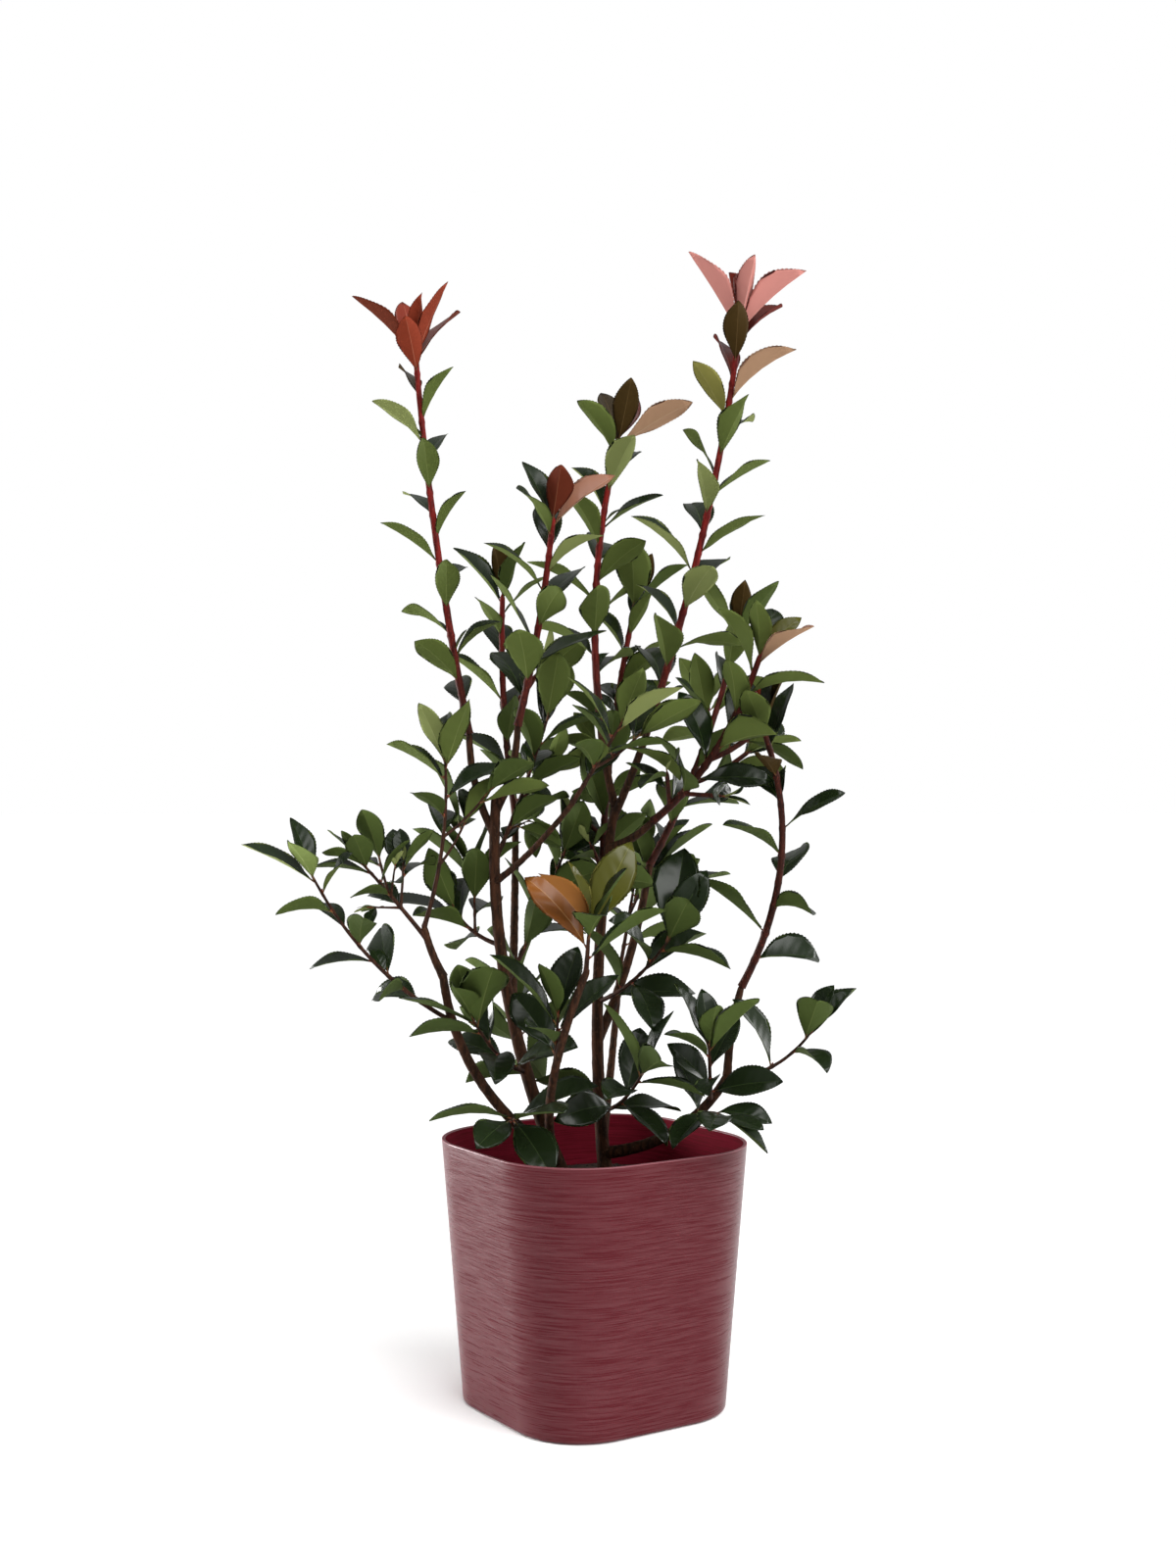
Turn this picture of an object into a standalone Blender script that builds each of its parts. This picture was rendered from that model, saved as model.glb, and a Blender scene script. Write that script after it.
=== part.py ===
# A red robin photinia in its planter: a tapered, rounded-square pot filled with compost, and
# the shrub that grows in it. Metres, +Z up. The origin is the middle of the pot's flat
# underside. The plant's front faces -Y.
#
# The shrub is a set of tapering limbs, and masses of foliage at their ends and sides. A mass
# is one stem, with twigs and leaves that branch from it by a seeded rule.

import math
import random

import bmesh
import bpy
from mathutils import Matrix, Vector
from mathutils.bvhtree import BVHTree

GAP = 0.0003  # clear space between neighbouring solids

# Pot: a square with round corners that narrows towards its foot.
POT_HEIGHT = 0.268
POT_RIM_SIDE = 0.276
POT_FOOT_SIDE = 0.232
POT_RIM_CORNER = 0.092
POT_FOOT_CORNER = 0.070
POT_WALL = 0.0036
POT_FLOOR = 0.005
POT_FOOT_EDGE = 0.004
POT_RIM_EDGE = 0.0012
POT_TURN = math.radians(33)
CORNER_STEPS = 8

SOIL_LEVEL = 0.215

# Leaves: an egg-shaped blade on a narrow base, folded along its midrib and bent back.
LEAF_WIDTH = 0.52  # share of the leaf's length
LEAF_STATIONS = ((0.34, 0.84, 0.028), (0.69, 0.90, 0.014))  # along it, share of width, thickness
LEAF_FOLD = math.radians(20)
LEAF_CURL = math.radians(32)
LEAF_CLEAR = 0.0007  # least space round a leaf
LEAF_FREE_FROM = 0.22  # share of the leaf's length past which it clears its own mass too
LEAF_SUNK = 0.5  # share of the stem's radius that a leaf's root lies past its middle
LEAF_ARM = 0.9  # share of the leaf's length that stays in its mass's space
SPIRAL = math.radians(137.5)  # turn from one leaf to the next
TURNS = tuple(math.radians(a) for a in (0, 24, -24, 48, -48, 76, -76))  # tried in this order
SHRINKS = (1.0, 0.82)
LEVELLING = 0.7  # how far flatten lays leaves level
TIP_BARE = 0.012  # stem kept for the rosette
LEAF_SHORTER = 0.12  # how much shorter the leaves grow on the way up, as a share
ROSETTE_DEPTH = 0.011
ROSETTE_LEANS = (36, 6)  # degrees, outermost and innermost leaf
ROSETTE_SHORTER = 0.45

# Seeded spreads: lowest and highest.
FIRST_ANGLES = (0, 0.6)
ANGLE_SPREAD = (-0.2, 0.2)
LEAN_SPREAD = (-0.12, 0.12)
LEAF_LENGTHS = (0.86, 1.10)
LEAF_CURLS = (0.5, 1.4)
ROSETTE_CURLS = (0.2, 0.8)
TWIG_LENGTHS = (0.85, 1.1)

STEM_FOOT_RADIUS = 0.0023  # of a mass's own stem
STEM_TIP_RADIUS = 0.0011
TWIG_RADIUS = 0.0014
TWIG_TAPER = 0.7
TWIGS_FROM = 0.28  # share of the stem's length where the first twig may leave it
TWIGS_ALONG = 0.34  # share of the stem's length that bears twigs
TWIG_LEAN = 1.1
TWIG_RISE = 0.25
TWIG_SAG = 0.06  # share of the twig's length
TWIG_FREE_FROM = 0.2  # share of its length past which a twig clears its own mass too
TWIG_ROSETTE = 3
FLARE = 0.0035  # the swelling where a stem leaves the ground
FLARE_HEIGHT = 0.014
FLARE_TRIM = 0.006  # what lies lower than this above the compost is trimmed level
FORK_AT_MOST = 0.985  # share of a limb's length where the last mass may leave it
LIMB_SIDES = 7
TWIG_SIDES = 3
RUN = 0.050  # most length of a straight run along a limb
SPACE_STEPS = 12
SMOOTH = math.radians(40)  # edges under this angle are shaded smooth
POT_SMOOTH = math.radians(50)

# Colours (linear red, green, blue), roughness.
FINISHES = {
    "pot plastic": ((0.165, 0.036, 0.043), 0.45),
    "compost": ((0.020, 0.013, 0.009), 0.95),
    "old bark": ((0.085, 0.048, 0.030), 0.85),
    "young bark": ((0.210, 0.028, 0.026), 0.55),
    "green leaf": ((0.022, 0.060, 0.022), 0.35),
    "olive leaf": ((0.110, 0.150, 0.030), 0.40),
    "red leaf": ((0.300, 0.065, 0.040), 0.40),
}


class Path:
    """A centre line of straight runs from foot to tip, pushed sideways by its bow half-way along."""

    def __init__(self, foot, tip, bow, foot_radius, tip_radius, flare=0.0):
        self.foot = Vector(foot)
        self.tip = Vector(tip)
        self.bow = Vector(bow)
        self.foot_radius = foot_radius
        self.tip_radius = tip_radius
        self.flare = flare
        self.length = (self.tip - self.foot).length
        self.runs = max(2, math.ceil(self.length / RUN))

    def point(self, t):
        run = min(int(t * self.runs), self.runs - 1)
        ends = []
        for share in (run / self.runs, (run + 1) / self.runs):
            ends.append(self.foot.lerp(self.tip, share) + self.bow * (4 * share * (1 - share)))
        return ends[0].lerp(ends[1], t * self.runs - run)

    def direction(self, t):
        return (self.tip - self.foot + self.bow * (4 - 8 * t)).normalized()

    def radius(self, t):
        taper = self.foot_radius + (self.tip_radius - self.foot_radius) * t
        return taper + self.flare * math.exp(-t * self.length / FLARE_HEIGHT)

    def across(self, t, angle):
        """Unit vector square to the line at t, turned by angle round it."""
        chord = self.tip - self.foot
        axis = min(range(3), key=lambda i: abs(chord[i]))
        aside = Vector([float(i == axis) for i in range(3)])
        side = (aside - self.direction(t) * aside.dot(self.direction(t))).normalized()
        return Matrix.Rotation(angle, 3, self.direction(t)) @ side


# Sizes of the plant's woody limbs: name, the limb it leaves, how far up that one, its tip,
# its bow, and the radii at foot and tip.
STEMS = (
    ("stem_left", (-0.024, -0.002), (-0.099, 0.000, 0.619), (-0.026, 0.000, 0.000), 0.0072, 0.0052),
    ("stem_centre", (0.014, 0.010), (0.023, 0.030, 0.611), (-0.014, 0.004, 0.000), 0.0070, 0.0045),
)
BOUGHS = (
    ("bough_left_tall", "stem_left", 0.90, (-0.128, 0.020, 0.683), (-0.006, 0.000, -0.004), 0.0036, 0.0029),
    ("bough_left_middle", "stem_left", 0.96, (-0.076, -0.030, 0.690), (0.005, -0.004, -0.004), 0.0036, 0.0029),
    ("bough_centre_tall", "stem_centre", 0.99, (0.005, 0.070, 0.721), (-0.003, 0.003, 0.000), 0.0036, 0.0028),
    ("bough_right_tall", "stem_centre", 0.96, (0.062, 0.020, 0.704), (0.002, -0.006, 0.000), 0.0036, 0.0030),
    ("bough_right_middle", "stem_centre", 0.88, (0.061, -0.012, 0.593), (0.002, -0.002, -0.003), 0.0038, 0.0030),
    ("bough_back_right", "stem_centre", 0.38, (0.061, 0.105, 0.546), (0.006, 0.014, -0.008), 0.0046, 0.0032),
    ("bough_back_left", "stem_left", 0.45, (-0.085, 0.150, 0.600), (0.000, 0.022, -0.012), 0.0042, 0.0029),
    ("bough_inner", "stem_left", 0.78, (-0.020, -0.070, 0.612), (-0.002, -0.008, -0.008), 0.0030, 0.0022),
    ("bough_right_low", "stem_centre", 0.09, (0.136, -0.030, 0.339), (0.012, 0.000, -0.016), 0.0054, 0.0038),
    ("bough_right_outer", "bough_right_low", 0.985, (0.151, -0.006, 0.425), (-0.003, 0.000, 0.000), 0.0036, 0.0030),
    ("bough_left_low", "stem_left", 0.09, (-0.149, -0.060, 0.442), (-0.022, -0.006, -0.010), 0.0050, 0.0036),
    ("bough_left_outer", "bough_left_low", 0.985, (-0.168, -0.062, 0.490), (-0.002, 0.000, 0.000), 0.0034, 0.0030),
    ("bough_front", "stem_left", 0.07, (-0.006, -0.150, 0.455), (-0.020, -0.024, -0.016), 0.0042, 0.0030),
    ("bough_back_low", "stem_centre", 0.12, (0.030, 0.165, 0.430), (0.000, 0.030, -0.020), 0.0042, 0.0028),
)

# Masses of foliage: name, the limb it leaves, how far up that one, its tip and its bow, then
# the sizes that differ from MASS.
MASS = {
    "leaf": 0.078,  # length of a full-grown leaf
    "spacing": 0.023,  # from one leaf to the next along the stem
    "bare": 0.016,  # length of stem below its first leaf
    "rosette": 4,  # leaves bunched at the tip
    "crown": 1.10,  # length of the longest of those, as a share of a full-grown leaf
    "twigs": 0,
    "twig_length": 0.070,
    "reach": 0.095,  # radius of the mass's own space round its stem
    "lean": (48, 27),  # degrees between leaf and stem, at the first leaf and at the last
    "tips": "green leaf",
    "wood": "young bark",
    "flatten": 0.0,  # 1 where the leaves lie level on a side branch, 0 on an upright shoot
}
MASSES = (
    ("foliage_left_tall", "bough_left_tall", 1.0, (-0.186, 0.050, 1.082), (-0.006, 0.000, 0.000),
     {"leaf": 0.072, "spacing": 0.026, "lean": (42, 24), "rosette": 6, "crown": 1.36, "tips": "red leaf"}),
    ("foliage_right_tall", "bough_right_tall", 1.0, (0.153, 0.040, 1.108), (0.010, 0.000, 0.000),
     {"leaf": 0.088, "spacing": 0.020, "lean": (46, 27), "rosette": 7, "tips": "red leaf"}),
    ("foliage_centre_tall", "bough_centre_tall", 1.0, (0.028, 0.100, 1.000), (-0.012, 0.000, 0.000),
     {"leaf": 0.084, "spacing": 0.020, "tips": "red leaf"}),
    ("foliage_left_middle", "bough_left_middle", 1.0, (-0.040, -0.060, 0.895), (0.004, 0.000, 0.000),
     {"leaf": 0.084, "spacing": 0.018, "crown": 0.95, "tips": "red leaf"}),
    ("foliage_right_outer", "bough_right_outer", 1.0, (0.168, -0.045, 0.688), (0.030, 0.000, 0.000),
     {"leaf": 0.080, "spacing": 0.027, "lean": (62, 36), "rosette": 5, "crown": 0.9, "tips": "red leaf"}),
    ("foliage_right_middle", "bough_right_middle", 1.0, (0.166, -0.060, 0.760), (0.008, -0.006, -0.014),
     {"leaf": 0.086, "spacing": 0.019, "rosette": 5, "crown": 0.9, "twigs": 1, "tips": "olive leaf"}),
    ("foliage_back_right", "bough_back_right", 1.0, (0.160, 0.160, 0.800), (0.008, 0.004, -0.008),
     {"twigs": 2}),
    ("foliage_right_side", "bough_right_low", 0.96, (0.212, -0.082, 0.386), (0.004, -0.004, -0.010),
     {"leaf": 0.070, "bare": 0.040, "flatten": 0.6, "lean": (58, 36), "rosette": 5}),
    ("foliage_right_base", "bough_right_low", 0.80, (0.112, -0.090, 0.380), (0.000, -0.010, -0.008),
     {"leaf": 0.072, "spacing": 0.013, "flatten": 0.3}),
    ("foliage_right_rim", "bough_right_low", 0.60, (0.126, -0.086, 0.306), (0.000, -0.006, 0.006),
     {"leaf": 0.068, "spacing": 0.016, "flatten": 0.7, "lean": (60, 40), "rosette": 3}),
    ("foliage_left_fork", "bough_left_outer", 0.97, (-0.148, -0.048, 0.655), (0.008, 0.000, 0.000),
     {"spacing": 0.020, "bare": 0.080, "twigs": 2, "flatten": 0.4, "lean": (60, 40), "reach": 0.105}),
    ("foliage_left_side", "bough_left_outer", 0.70, (-0.226, -0.090, 0.553), (-0.004, 0.000, 0.006),
     {"leaf": 0.060, "spacing": 0.017, "bare": 0.030, "flatten": 0.8, "lean": (58, 40),
      "twigs": 2, "twig_length": 0.05, "crown": 1.0}),
    ("foliage_left_far", "bough_left_low", 0.78, (-0.272, -0.118, 0.545), (-0.010, 0.000, -0.012),
     {"leaf": 0.072, "spacing": 0.022, "bare": 0.030, "flatten": 0.7, "lean": (58, 40)}),
    ("foliage_left_rim", "bough_left_low", 0.22, (-0.080, -0.100, 0.303), (0.000, -0.006, 0.004),
     {"leaf": 0.088, "spacing": 0.020, "flatten": 0.8, "lean": (60, 44), "rosette": 2, "wood": "old bark"}),
    ("foliage_front", "bough_front", 1.0, (-0.004, -0.168, 0.500), (0.000, 0.000, 0.000),
     {"leaf": 0.086, "spacing": 0.013, "bare": 0.008, "tips": "olive leaf"}),
    ("foliage_inner", "bough_inner", 1.0, (0.028, -0.086, 0.690), (0.000, -0.006, 0.000),
     {"spacing": 0.016, "flatten": 0.4, "lean": (56, 36), "twigs": 1}),
    ("foliage_inner_left", "stem_left", 0.62, (-0.146, 0.020, 0.505), (-0.004, 0.004, -0.006),
     {"spacing": 0.015, "flatten": 0.3, "twigs": 1, "wood": "old bark"}),
    ("foliage_inner_right", "stem_centre", 0.48, (0.078, -0.056, 0.480), (0.000, -0.004, -0.010),
     {"leaf": 0.090, "spacing": 0.016, "flatten": 0.4, "lean": (56, 36), "wood": "old bark"}),
    ("foliage_middle", "stem_left", 0.52, (-0.030, 0.050, 0.560), (0.000, 0.008, -0.006),
     {"spacing": 0.018, "wood": "old bark"}),
    ("foliage_middle_left", "stem_left", 0.83, (-0.045, 0.035, 0.706), (0.000, 0.008, -0.006),
     {"spacing": 0.016, "flatten": 0.2, "twigs": 1, "wood": "old bark"}),
    ("foliage_base_left", "stem_left", 0.30, (-0.120, -0.070, 0.400), (0.000, -0.006, -0.010),
     {"leaf": 0.086, "spacing": 0.015, "flatten": 0.5, "lean": (60, 40), "wood": "old bark"}),
    ("foliage_base_centre", "bough_front", 0.30, (-0.034, -0.130, 0.410), (0.000, -0.008, -0.006),
     {"leaf": 0.084, "spacing": 0.012, "flatten": 0.5, "lean": (60, 40), "wood": "old bark"}),
    ("foliage_base_right", "stem_centre", 0.20, (0.050, -0.078, 0.350), (0.000, -0.006, -0.010),
     {"leaf": 0.081, "spacing": 0.014, "flatten": 0.5, "lean": (60, 40), "wood": "old bark"}),
    ("foliage_back_left", "bough_back_left", 1.0, (-0.100, 0.170, 0.840), (-0.006, 0.006, 0.000),
     {"twigs": 1}),
    ("foliage_back_middle", "stem_centre", 0.72, (0.047, 0.150, 0.830), (-0.010, 0.020, -0.006),
     {"spacing": 0.019}),
    ("foliage_back_low", "bough_back_low", 1.0, (0.050, 0.205, 0.540), (0.000, 0.008, -0.004),
     {"leaf": 0.084, "flatten": 0.3, "twigs": 2}),
    ("foliage_back_base", "stem_left", 0.25, (-0.085, 0.130, 0.400), (0.000, 0.008, -0.012),
     {"leaf": 0.084, "spacing": 0.017, "flatten": 0.5, "lean": (60, 40), "wood": "old bark"}),
)


def material(name):
    """The material of that name in FINISHES, made the first time it is asked for."""
    made = bpy.data.materials.get(name)
    if made is None:
        colour, roughness = FINISHES[name]
        made = bpy.data.materials.new(name)
        made.use_nodes = True
        made.diffuse_color = (*colour, 1.0)
        shader = made.node_tree.nodes["Principled BSDF"]
        shader.inputs["Base Color"].default_value = (*colour, 1.0)
        shader.inputs["Roughness"].default_value = roughness
        shader.inputs["Metallic"].default_value = 0.0
    return made


def loft(rings, end=None, start=None):
    """A closed triangulated solid through rings of equally many points.

    It runs on to an end point, and back to a start point, where these are given.
    """
    solid = bmesh.new()
    loops = [[solid.verts.new(corner) for corner in ring] for ring in rings]
    count = len(loops[0])
    for low, high in zip(loops, loops[1:]):
        for i in range(count):
            j = (i + 1) % count
            solid.faces.new((low[i], low[j], high[j], high[i]))
    for loop, point in ((loops[0][::-1], start), (loops[-1], end)):
        if point is None:
            solid.faces.new(loop)
            continue
        peak = solid.verts.new(point)
        for i in range(count):
            solid.faces.new((loop[i], loop[(i + 1) % count], peak))
    bmesh.ops.triangulate(solid, faces=solid.faces[:])
    bmesh.ops.recalc_face_normals(solid, faces=solid.faces[:])
    return solid


def put(name, solid, finish, smooth=SMOOTH):
    """Makes an object of a bmesh solid, with one material."""
    mesh = bpy.data.meshes.new(name)
    solid.to_mesh(mesh)
    solid.free()
    mesh.materials.append(material(finish))
    mesh.shade_smooth()
    mesh.set_sharp_from_angle(angle=smooth)
    made = bpy.data.objects.new(name, mesh)
    bpy.context.scene.collection.objects.link(made)
    return made


def rounded_square(side, corner, height):
    """A level ring of points round a square with round corners, turned as the pot stands."""
    ring = []
    for quarter in range(4):
        middle = (math.pi / 2) * quarter + math.pi / 4
        centre = Vector((math.cos(middle), math.sin(middle), 0)) * math.sqrt(2) * (side / 2 - corner)
        for step in range(CORNER_STEPS + 1):
            angle = (math.pi / 2) * (quarter + step / CORNER_STEPS)
            ring.append(centre + Vector((math.cos(angle), math.sin(angle), 0)) * corner)
    turn = Matrix.Rotation(POT_TURN, 3, "Z")
    return [turn @ spot + Vector((0, 0, height)) for spot in ring]


def pot_ring(height, inset=0.0):
    """The pot's outer outline at a height, drawn in by an inset."""
    share = height / POT_HEIGHT
    side = POT_FOOT_SIDE + (POT_RIM_SIDE - POT_FOOT_SIDE) * share
    corner = POT_FOOT_CORNER + (POT_RIM_CORNER - POT_FOOT_CORNER) * share
    return rounded_square(side - 2 * inset, corner - inset, height)


def make_pot():
    """A thin open shell with a round edge at its foot and at its rim."""
    rings = []
    for step in range(3):
        angle = math.pi / 4 * step
        rings.append(pot_ring(POT_FOOT_EDGE * (1 - math.cos(angle)), POT_FOOT_EDGE * (1 - math.sin(angle))))
    rings.append(pot_ring(POT_HEIGHT / 2))
    for step in range(3):
        angle = math.pi / 4 * step
        rings.append(pot_ring(POT_HEIGHT - POT_RIM_EDGE * (1 - math.sin(angle)),
                              POT_RIM_EDGE * (1 - math.cos(angle))))
    rings.append(pot_ring(POT_HEIGHT, POT_WALL - POT_RIM_EDGE))
    rings.append(pot_ring(POT_HEIGHT - POT_RIM_EDGE, POT_WALL))
    rings.append(pot_ring(POT_FLOOR, POT_WALL))
    return put("pot", loft(rings), "pot plastic", POT_SMOOTH)


def make_compost():
    """The fill, a hair clear of the pot's wall and floor."""
    inset = POT_WALL + GAP
    rings = [pot_ring(POT_FLOOR + GAP, inset), pot_ring(SOIL_LEVEL, inset)]
    return put("compost", loft(rings), "compost")


def tube(path, sides, grow=0.0, start=0.0):
    """A tapering solid round a path. It is fatter and longer all round by grow."""
    rings = []
    for i in range(path.runs + 1):
        t = max(i / path.runs, start)
        middle = path.point(t) + path.direction(t) * grow * ((i == path.runs) - (i == 0))
        radius = path.radius(t) + grow / math.cos(math.pi / sides)
        rings.append([middle + path.across(t, math.tau * k / sides) * radius for k in range(sides)])
    return loft(rings)


def cut_clear(body, paths):
    """Cuts a body back until it is GAP clear of the limbs that run along the paths."""
    for path in paths:
        cutter = put(body.name + " cutter", tube(path, LIMB_SIDES, GAP), "old bark")
        cut = body.modifiers.new("clear of its neighbour", "BOOLEAN")
        cut.operation = "DIFFERENCE"
        cut.solver = "EXACT"
        cut.object = cutter
        apply_modifiers(body)
        bpy.data.objects.remove(cutter)


def apply_modifiers(body):
    """Puts the evaluated mesh in place of the body's own."""
    graph = bpy.context.evaluated_depsgraph_get()
    graph.update()
    made = bpy.data.meshes.new_from_object(body.evaluated_get(graph))
    body.modifiers.clear()
    body.data = made
    made.name = body.name


def leaf_solid(leaf, swell=0.0, start=None):
    """A leaf as a thin closed blade: root, tip and a folded section at each station.

    With swell it is thicker all round, for testing what it would touch. With start only the
    part beyond that share of its length is made.
    """
    root, along, up, length, curl = leaf
    side = along.cross(up)

    def spine(s):
        bend = curl * s
        forward = length * math.sin(bend) / curl
        drop = length * (1 - math.cos(bend)) / curl
        return root + along * forward - up * drop, up * math.cos(bend) + along * math.sin(bend)

    rings = []
    for s, share, thickness in LEAF_STATIONS:
        middle, raised = spine(s)
        half = share * LEAF_WIDTH * length / 2
        lift = raised * half * math.tan(LEAF_FOLD)
        thick = raised * (thickness * length / 2)
        if swell:
            edge = raised * swell
            out = side * (half + swell)
            rings.append([middle - out + lift + edge, middle + thick + edge, middle + out + lift + edge,
                          middle + out + lift - edge, middle - thick - edge, middle - out + lift - edge])
        else:
            rings.append([middle - side * half + lift, middle + thick,
                          middle + side * half + lift, middle - thick])
    if start is None:
        return loft(rings, spine(1.0)[0], spine(0.0)[0])
    rings.insert(0, [corner.lerp(spine(start)[0], 1 - start / LEAF_STATIONS[0][0]) for corner in rings[0]])
    return loft(rings, spine(1.0)[0])


class Space:
    """What is in place so far, with the mass that each solid belongs to."""

    def __init__(self):
        self.taken = []

    def add(self, owner, solid):
        corners = [corner.co for corner in solid.verts]
        low = Vector([min(c[i] for c in corners) for i in range(3)])
        high = Vector([max(c[i] for c in corners) for i in range(3)])
        self.taken.append((owner, low, high, BVHTree.FromBMesh(solid)))

    def touches(self, owner, probe, own_probe):
        """True if the probe meets another owner's solid, or the own probe one of this owner's."""
        corners = [corner.co for corner in probe.verts]
        low = Vector([min(c[i] for c in corners) for i in range(3)])
        high = Vector([max(c[i] for c in corners) for i in range(3)])
        whole = BVHTree.FromBMesh(probe)
        part = BVHTree.FromBMesh(own_probe)
        for other, other_low, other_high, tree in self.taken:
            if any(low[i] > other_high[i] or high[i] < other_low[i] for i in range(3)):
                continue
            if (part if other == owner else whole).overlap(tree):
                return True
        return False


class Mass:
    """One mass of foliage: a stem, its twigs and its leaves."""

    def __init__(self, name, foot, tip, bow, sizes, number):
        self.name = name
        self.sizes = {**MASS, **sizes}
        self.stem = Path(foot, tip, bow, STEM_FOOT_RADIUS, STEM_TIP_RADIUS)
        self.twigs = []
        self.leaves = []
        self.random = random.Random(100 + number)

    def inside(self, spot):
        """True within the mass's own space, a round-ended tube along its stem."""
        steps = [self.stem.point(i / SPACE_STEPS) for i in range(SPACE_STEPS + 1)]
        return min((spot - step).length for step in steps) <= self.sizes["reach"]

    def grow_twigs(self, space):
        """Short side twigs that rise from the lower half of the stem."""
        wanted = self.sizes["twigs"]
        for k in range(wanted):
            along = TWIGS_FROM + TWIGS_ALONG * (k + 0.5) / wanted
            angle = self.random.uniform(0, math.tau)
            length = self.sizes["twig_length"] * self.random.uniform(*TWIG_LENGTHS)
            for turn in TURNS:
                out = self.stem.across(along, angle + turn)
                heading = self.stem.direction(along) + out * TWIG_LEAN + Vector((0, 0, TWIG_RISE))
                foot = self.stem.point(along)
                tip = foot + heading.normalized() * length
                twig = Path(foot, tip, (0, 0, -TWIG_SAG * length), TWIG_RADIUS, TWIG_RADIUS * TWIG_TAPER)
                probe = tube(twig, TWIG_SIDES, LEAF_CLEAR)
                own_probe = tube(twig, TWIG_SIDES, LEAF_CLEAR, TWIG_FREE_FROM)
                blocked = space.touches(self.name, probe, own_probe)
                if not blocked and self.inside(twig.tip):
                    self.twigs.append(twig)
                    solid = tube(twig, TWIG_SIDES)
                    space.add(self.name, solid)
                    solid.free()
                    break

    def leaf_at(self, axis, t, angle, lean, length, curl):
        """A leaf that leaves an axis at t, its upper face towards the axis or the sky."""
        heading = axis.direction(t)
        out = axis.across(t, angle)
        flatten = self.sizes["flatten"]
        out.z *= 1 - LEVELLING * flatten
        out.normalize()
        along = (heading * math.cos(lean) + out * math.sin(lean)).normalized()
        sky = Vector((0, 0, 1))
        up = heading.lerp(sky, flatten)
        up = (up - along * up.dot(along)).normalized()
        return (axis.point(t) - along * axis.radius(t) * LEAF_SUNK, along, up, length, curl)

    def try_leaf(self, space, axis, t, angle, lean, length, curl, young):
        """Adds the leaf, turned or made smaller where that clears what is in its way."""
        for shrink in SHRINKS:
            for turn in TURNS:
                leaf = self.leaf_at(axis, t, angle + turn, lean, length * shrink, curl)
                root, along, up, size, bend = leaf
                if not self.inside(root + along * size * LEAF_ARM):
                    continue
                probe = leaf_solid(leaf, LEAF_CLEAR)
                own_probe = leaf_solid(leaf, LEAF_CLEAR, LEAF_FREE_FROM)
                if not space.touches(self.name, probe, own_probe):
                    self.leaves.append((leaf, young))
                    solid = leaf_solid(leaf)
                    space.add(self.name, solid)
                    solid.free()
                    return

    def grow_leaves(self, space):
        """Leaves in a spiral along the stem and each twig, and a rosette at every tip."""
        for number, axis in enumerate([self.stem, *self.twigs]):
            bare = self.sizes["bare"]
            rosette = self.sizes["rosette"] if number == 0 else TWIG_ROSETTE
            angle = self.random.uniform(*FIRST_ANGLES) + number
            run = axis.length - bare - TIP_BARE
            count = max(1, round(run / self.sizes["spacing"]))
            for i in range(count):
                t = (bare + run * (i + 0.5) / count) / axis.length
                share = i / count
                low, high = self.sizes["lean"]
                lean = math.radians(low + (high - low) * share) + self.random.uniform(*LEAN_SPREAD)
                length = self.sizes["leaf"] * self.random.uniform(*LEAF_LENGTHS) * (1 - LEAF_SHORTER * share)
                curl = LEAF_CURL * self.random.uniform(*LEAF_CURLS)
                self.try_leaf(space, axis, t, angle, lean, length, curl, False)
                angle += SPIRAL + self.random.uniform(*ANGLE_SPREAD)
            for i in range(rosette):
                share = i / rosette
                t = 1 - ROSETTE_DEPTH * (1 - share) / axis.length
                low, high = ROSETTE_LEANS
                lean = math.radians(low + (high - low) * share)
                length = self.sizes["leaf"] * self.sizes["crown"] * (1 - ROSETTE_SHORTER * share)
                curl = LEAF_CURL * self.random.uniform(*ROSETTE_CURLS)
                self.try_leaf(space, axis, t, angle, lean, length, curl, True)
                angle += SPIRAL + self.random.uniform(*ANGLE_SPREAD)

    def build(self, limb):
        """Joins stem, twigs and leaves into one solid, clear of the limb that bears it."""
        body = put(self.name, tube(self.stem, TWIG_SIDES), self.sizes["wood"])
        cut_clear(body, [limb])
        pieces = bpy.data.collections.new(self.name + " pieces")
        bpy.context.scene.collection.children.link(pieces)
        parts = [put(self.name + " twig", tube(twig, TWIG_SIDES), self.sizes["wood"]) for twig in self.twigs]
        for leaf, young in self.leaves:
            finish = self.sizes["tips"] if young else "green leaf"
            parts.append(put(self.name + " leaf", leaf_solid(leaf), finish))
        for part in parts:
            bpy.context.scene.collection.objects.unlink(part)
            pieces.objects.link(part)
        join = body.modifiers.new("join", "BOOLEAN")
        join.operation = "UNION"
        join.solver = "EXACT"
        join.material_mode = "TRANSFER"
        join.operand_type = "COLLECTION"
        join.collection = pieces
        apply_modifiers(body)
        for part in parts:
            bpy.data.objects.remove(part)
        bpy.data.collections.remove(pieces)
        drop_scraps(body)


def drop_scraps(body):
    """Removes what is loose from the body's largest piece."""
    solid = bmesh.new()
    solid.from_mesh(body.data)
    left = set(solid.verts)
    pieces = []
    while left:
        piece = [left.pop()]
        for corner in piece:
            fresh = {edge.other_vert(corner) for edge in corner.link_edges} & left
            left -= fresh
            piece.extend(sorted(fresh, key=lambda v: v.index))
        pieces.append(piece)
    pieces.sort(key=len)
    for piece in pieces[:-1]:
        bmesh.ops.delete(solid, geom=piece, context="VERTS")
    solid.to_mesh(body.data)
    solid.free()


def clear_scene():
    """Removes what the scene holds to begin with."""
    for old in list(bpy.data.objects):
        bpy.data.objects.remove(old)


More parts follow.
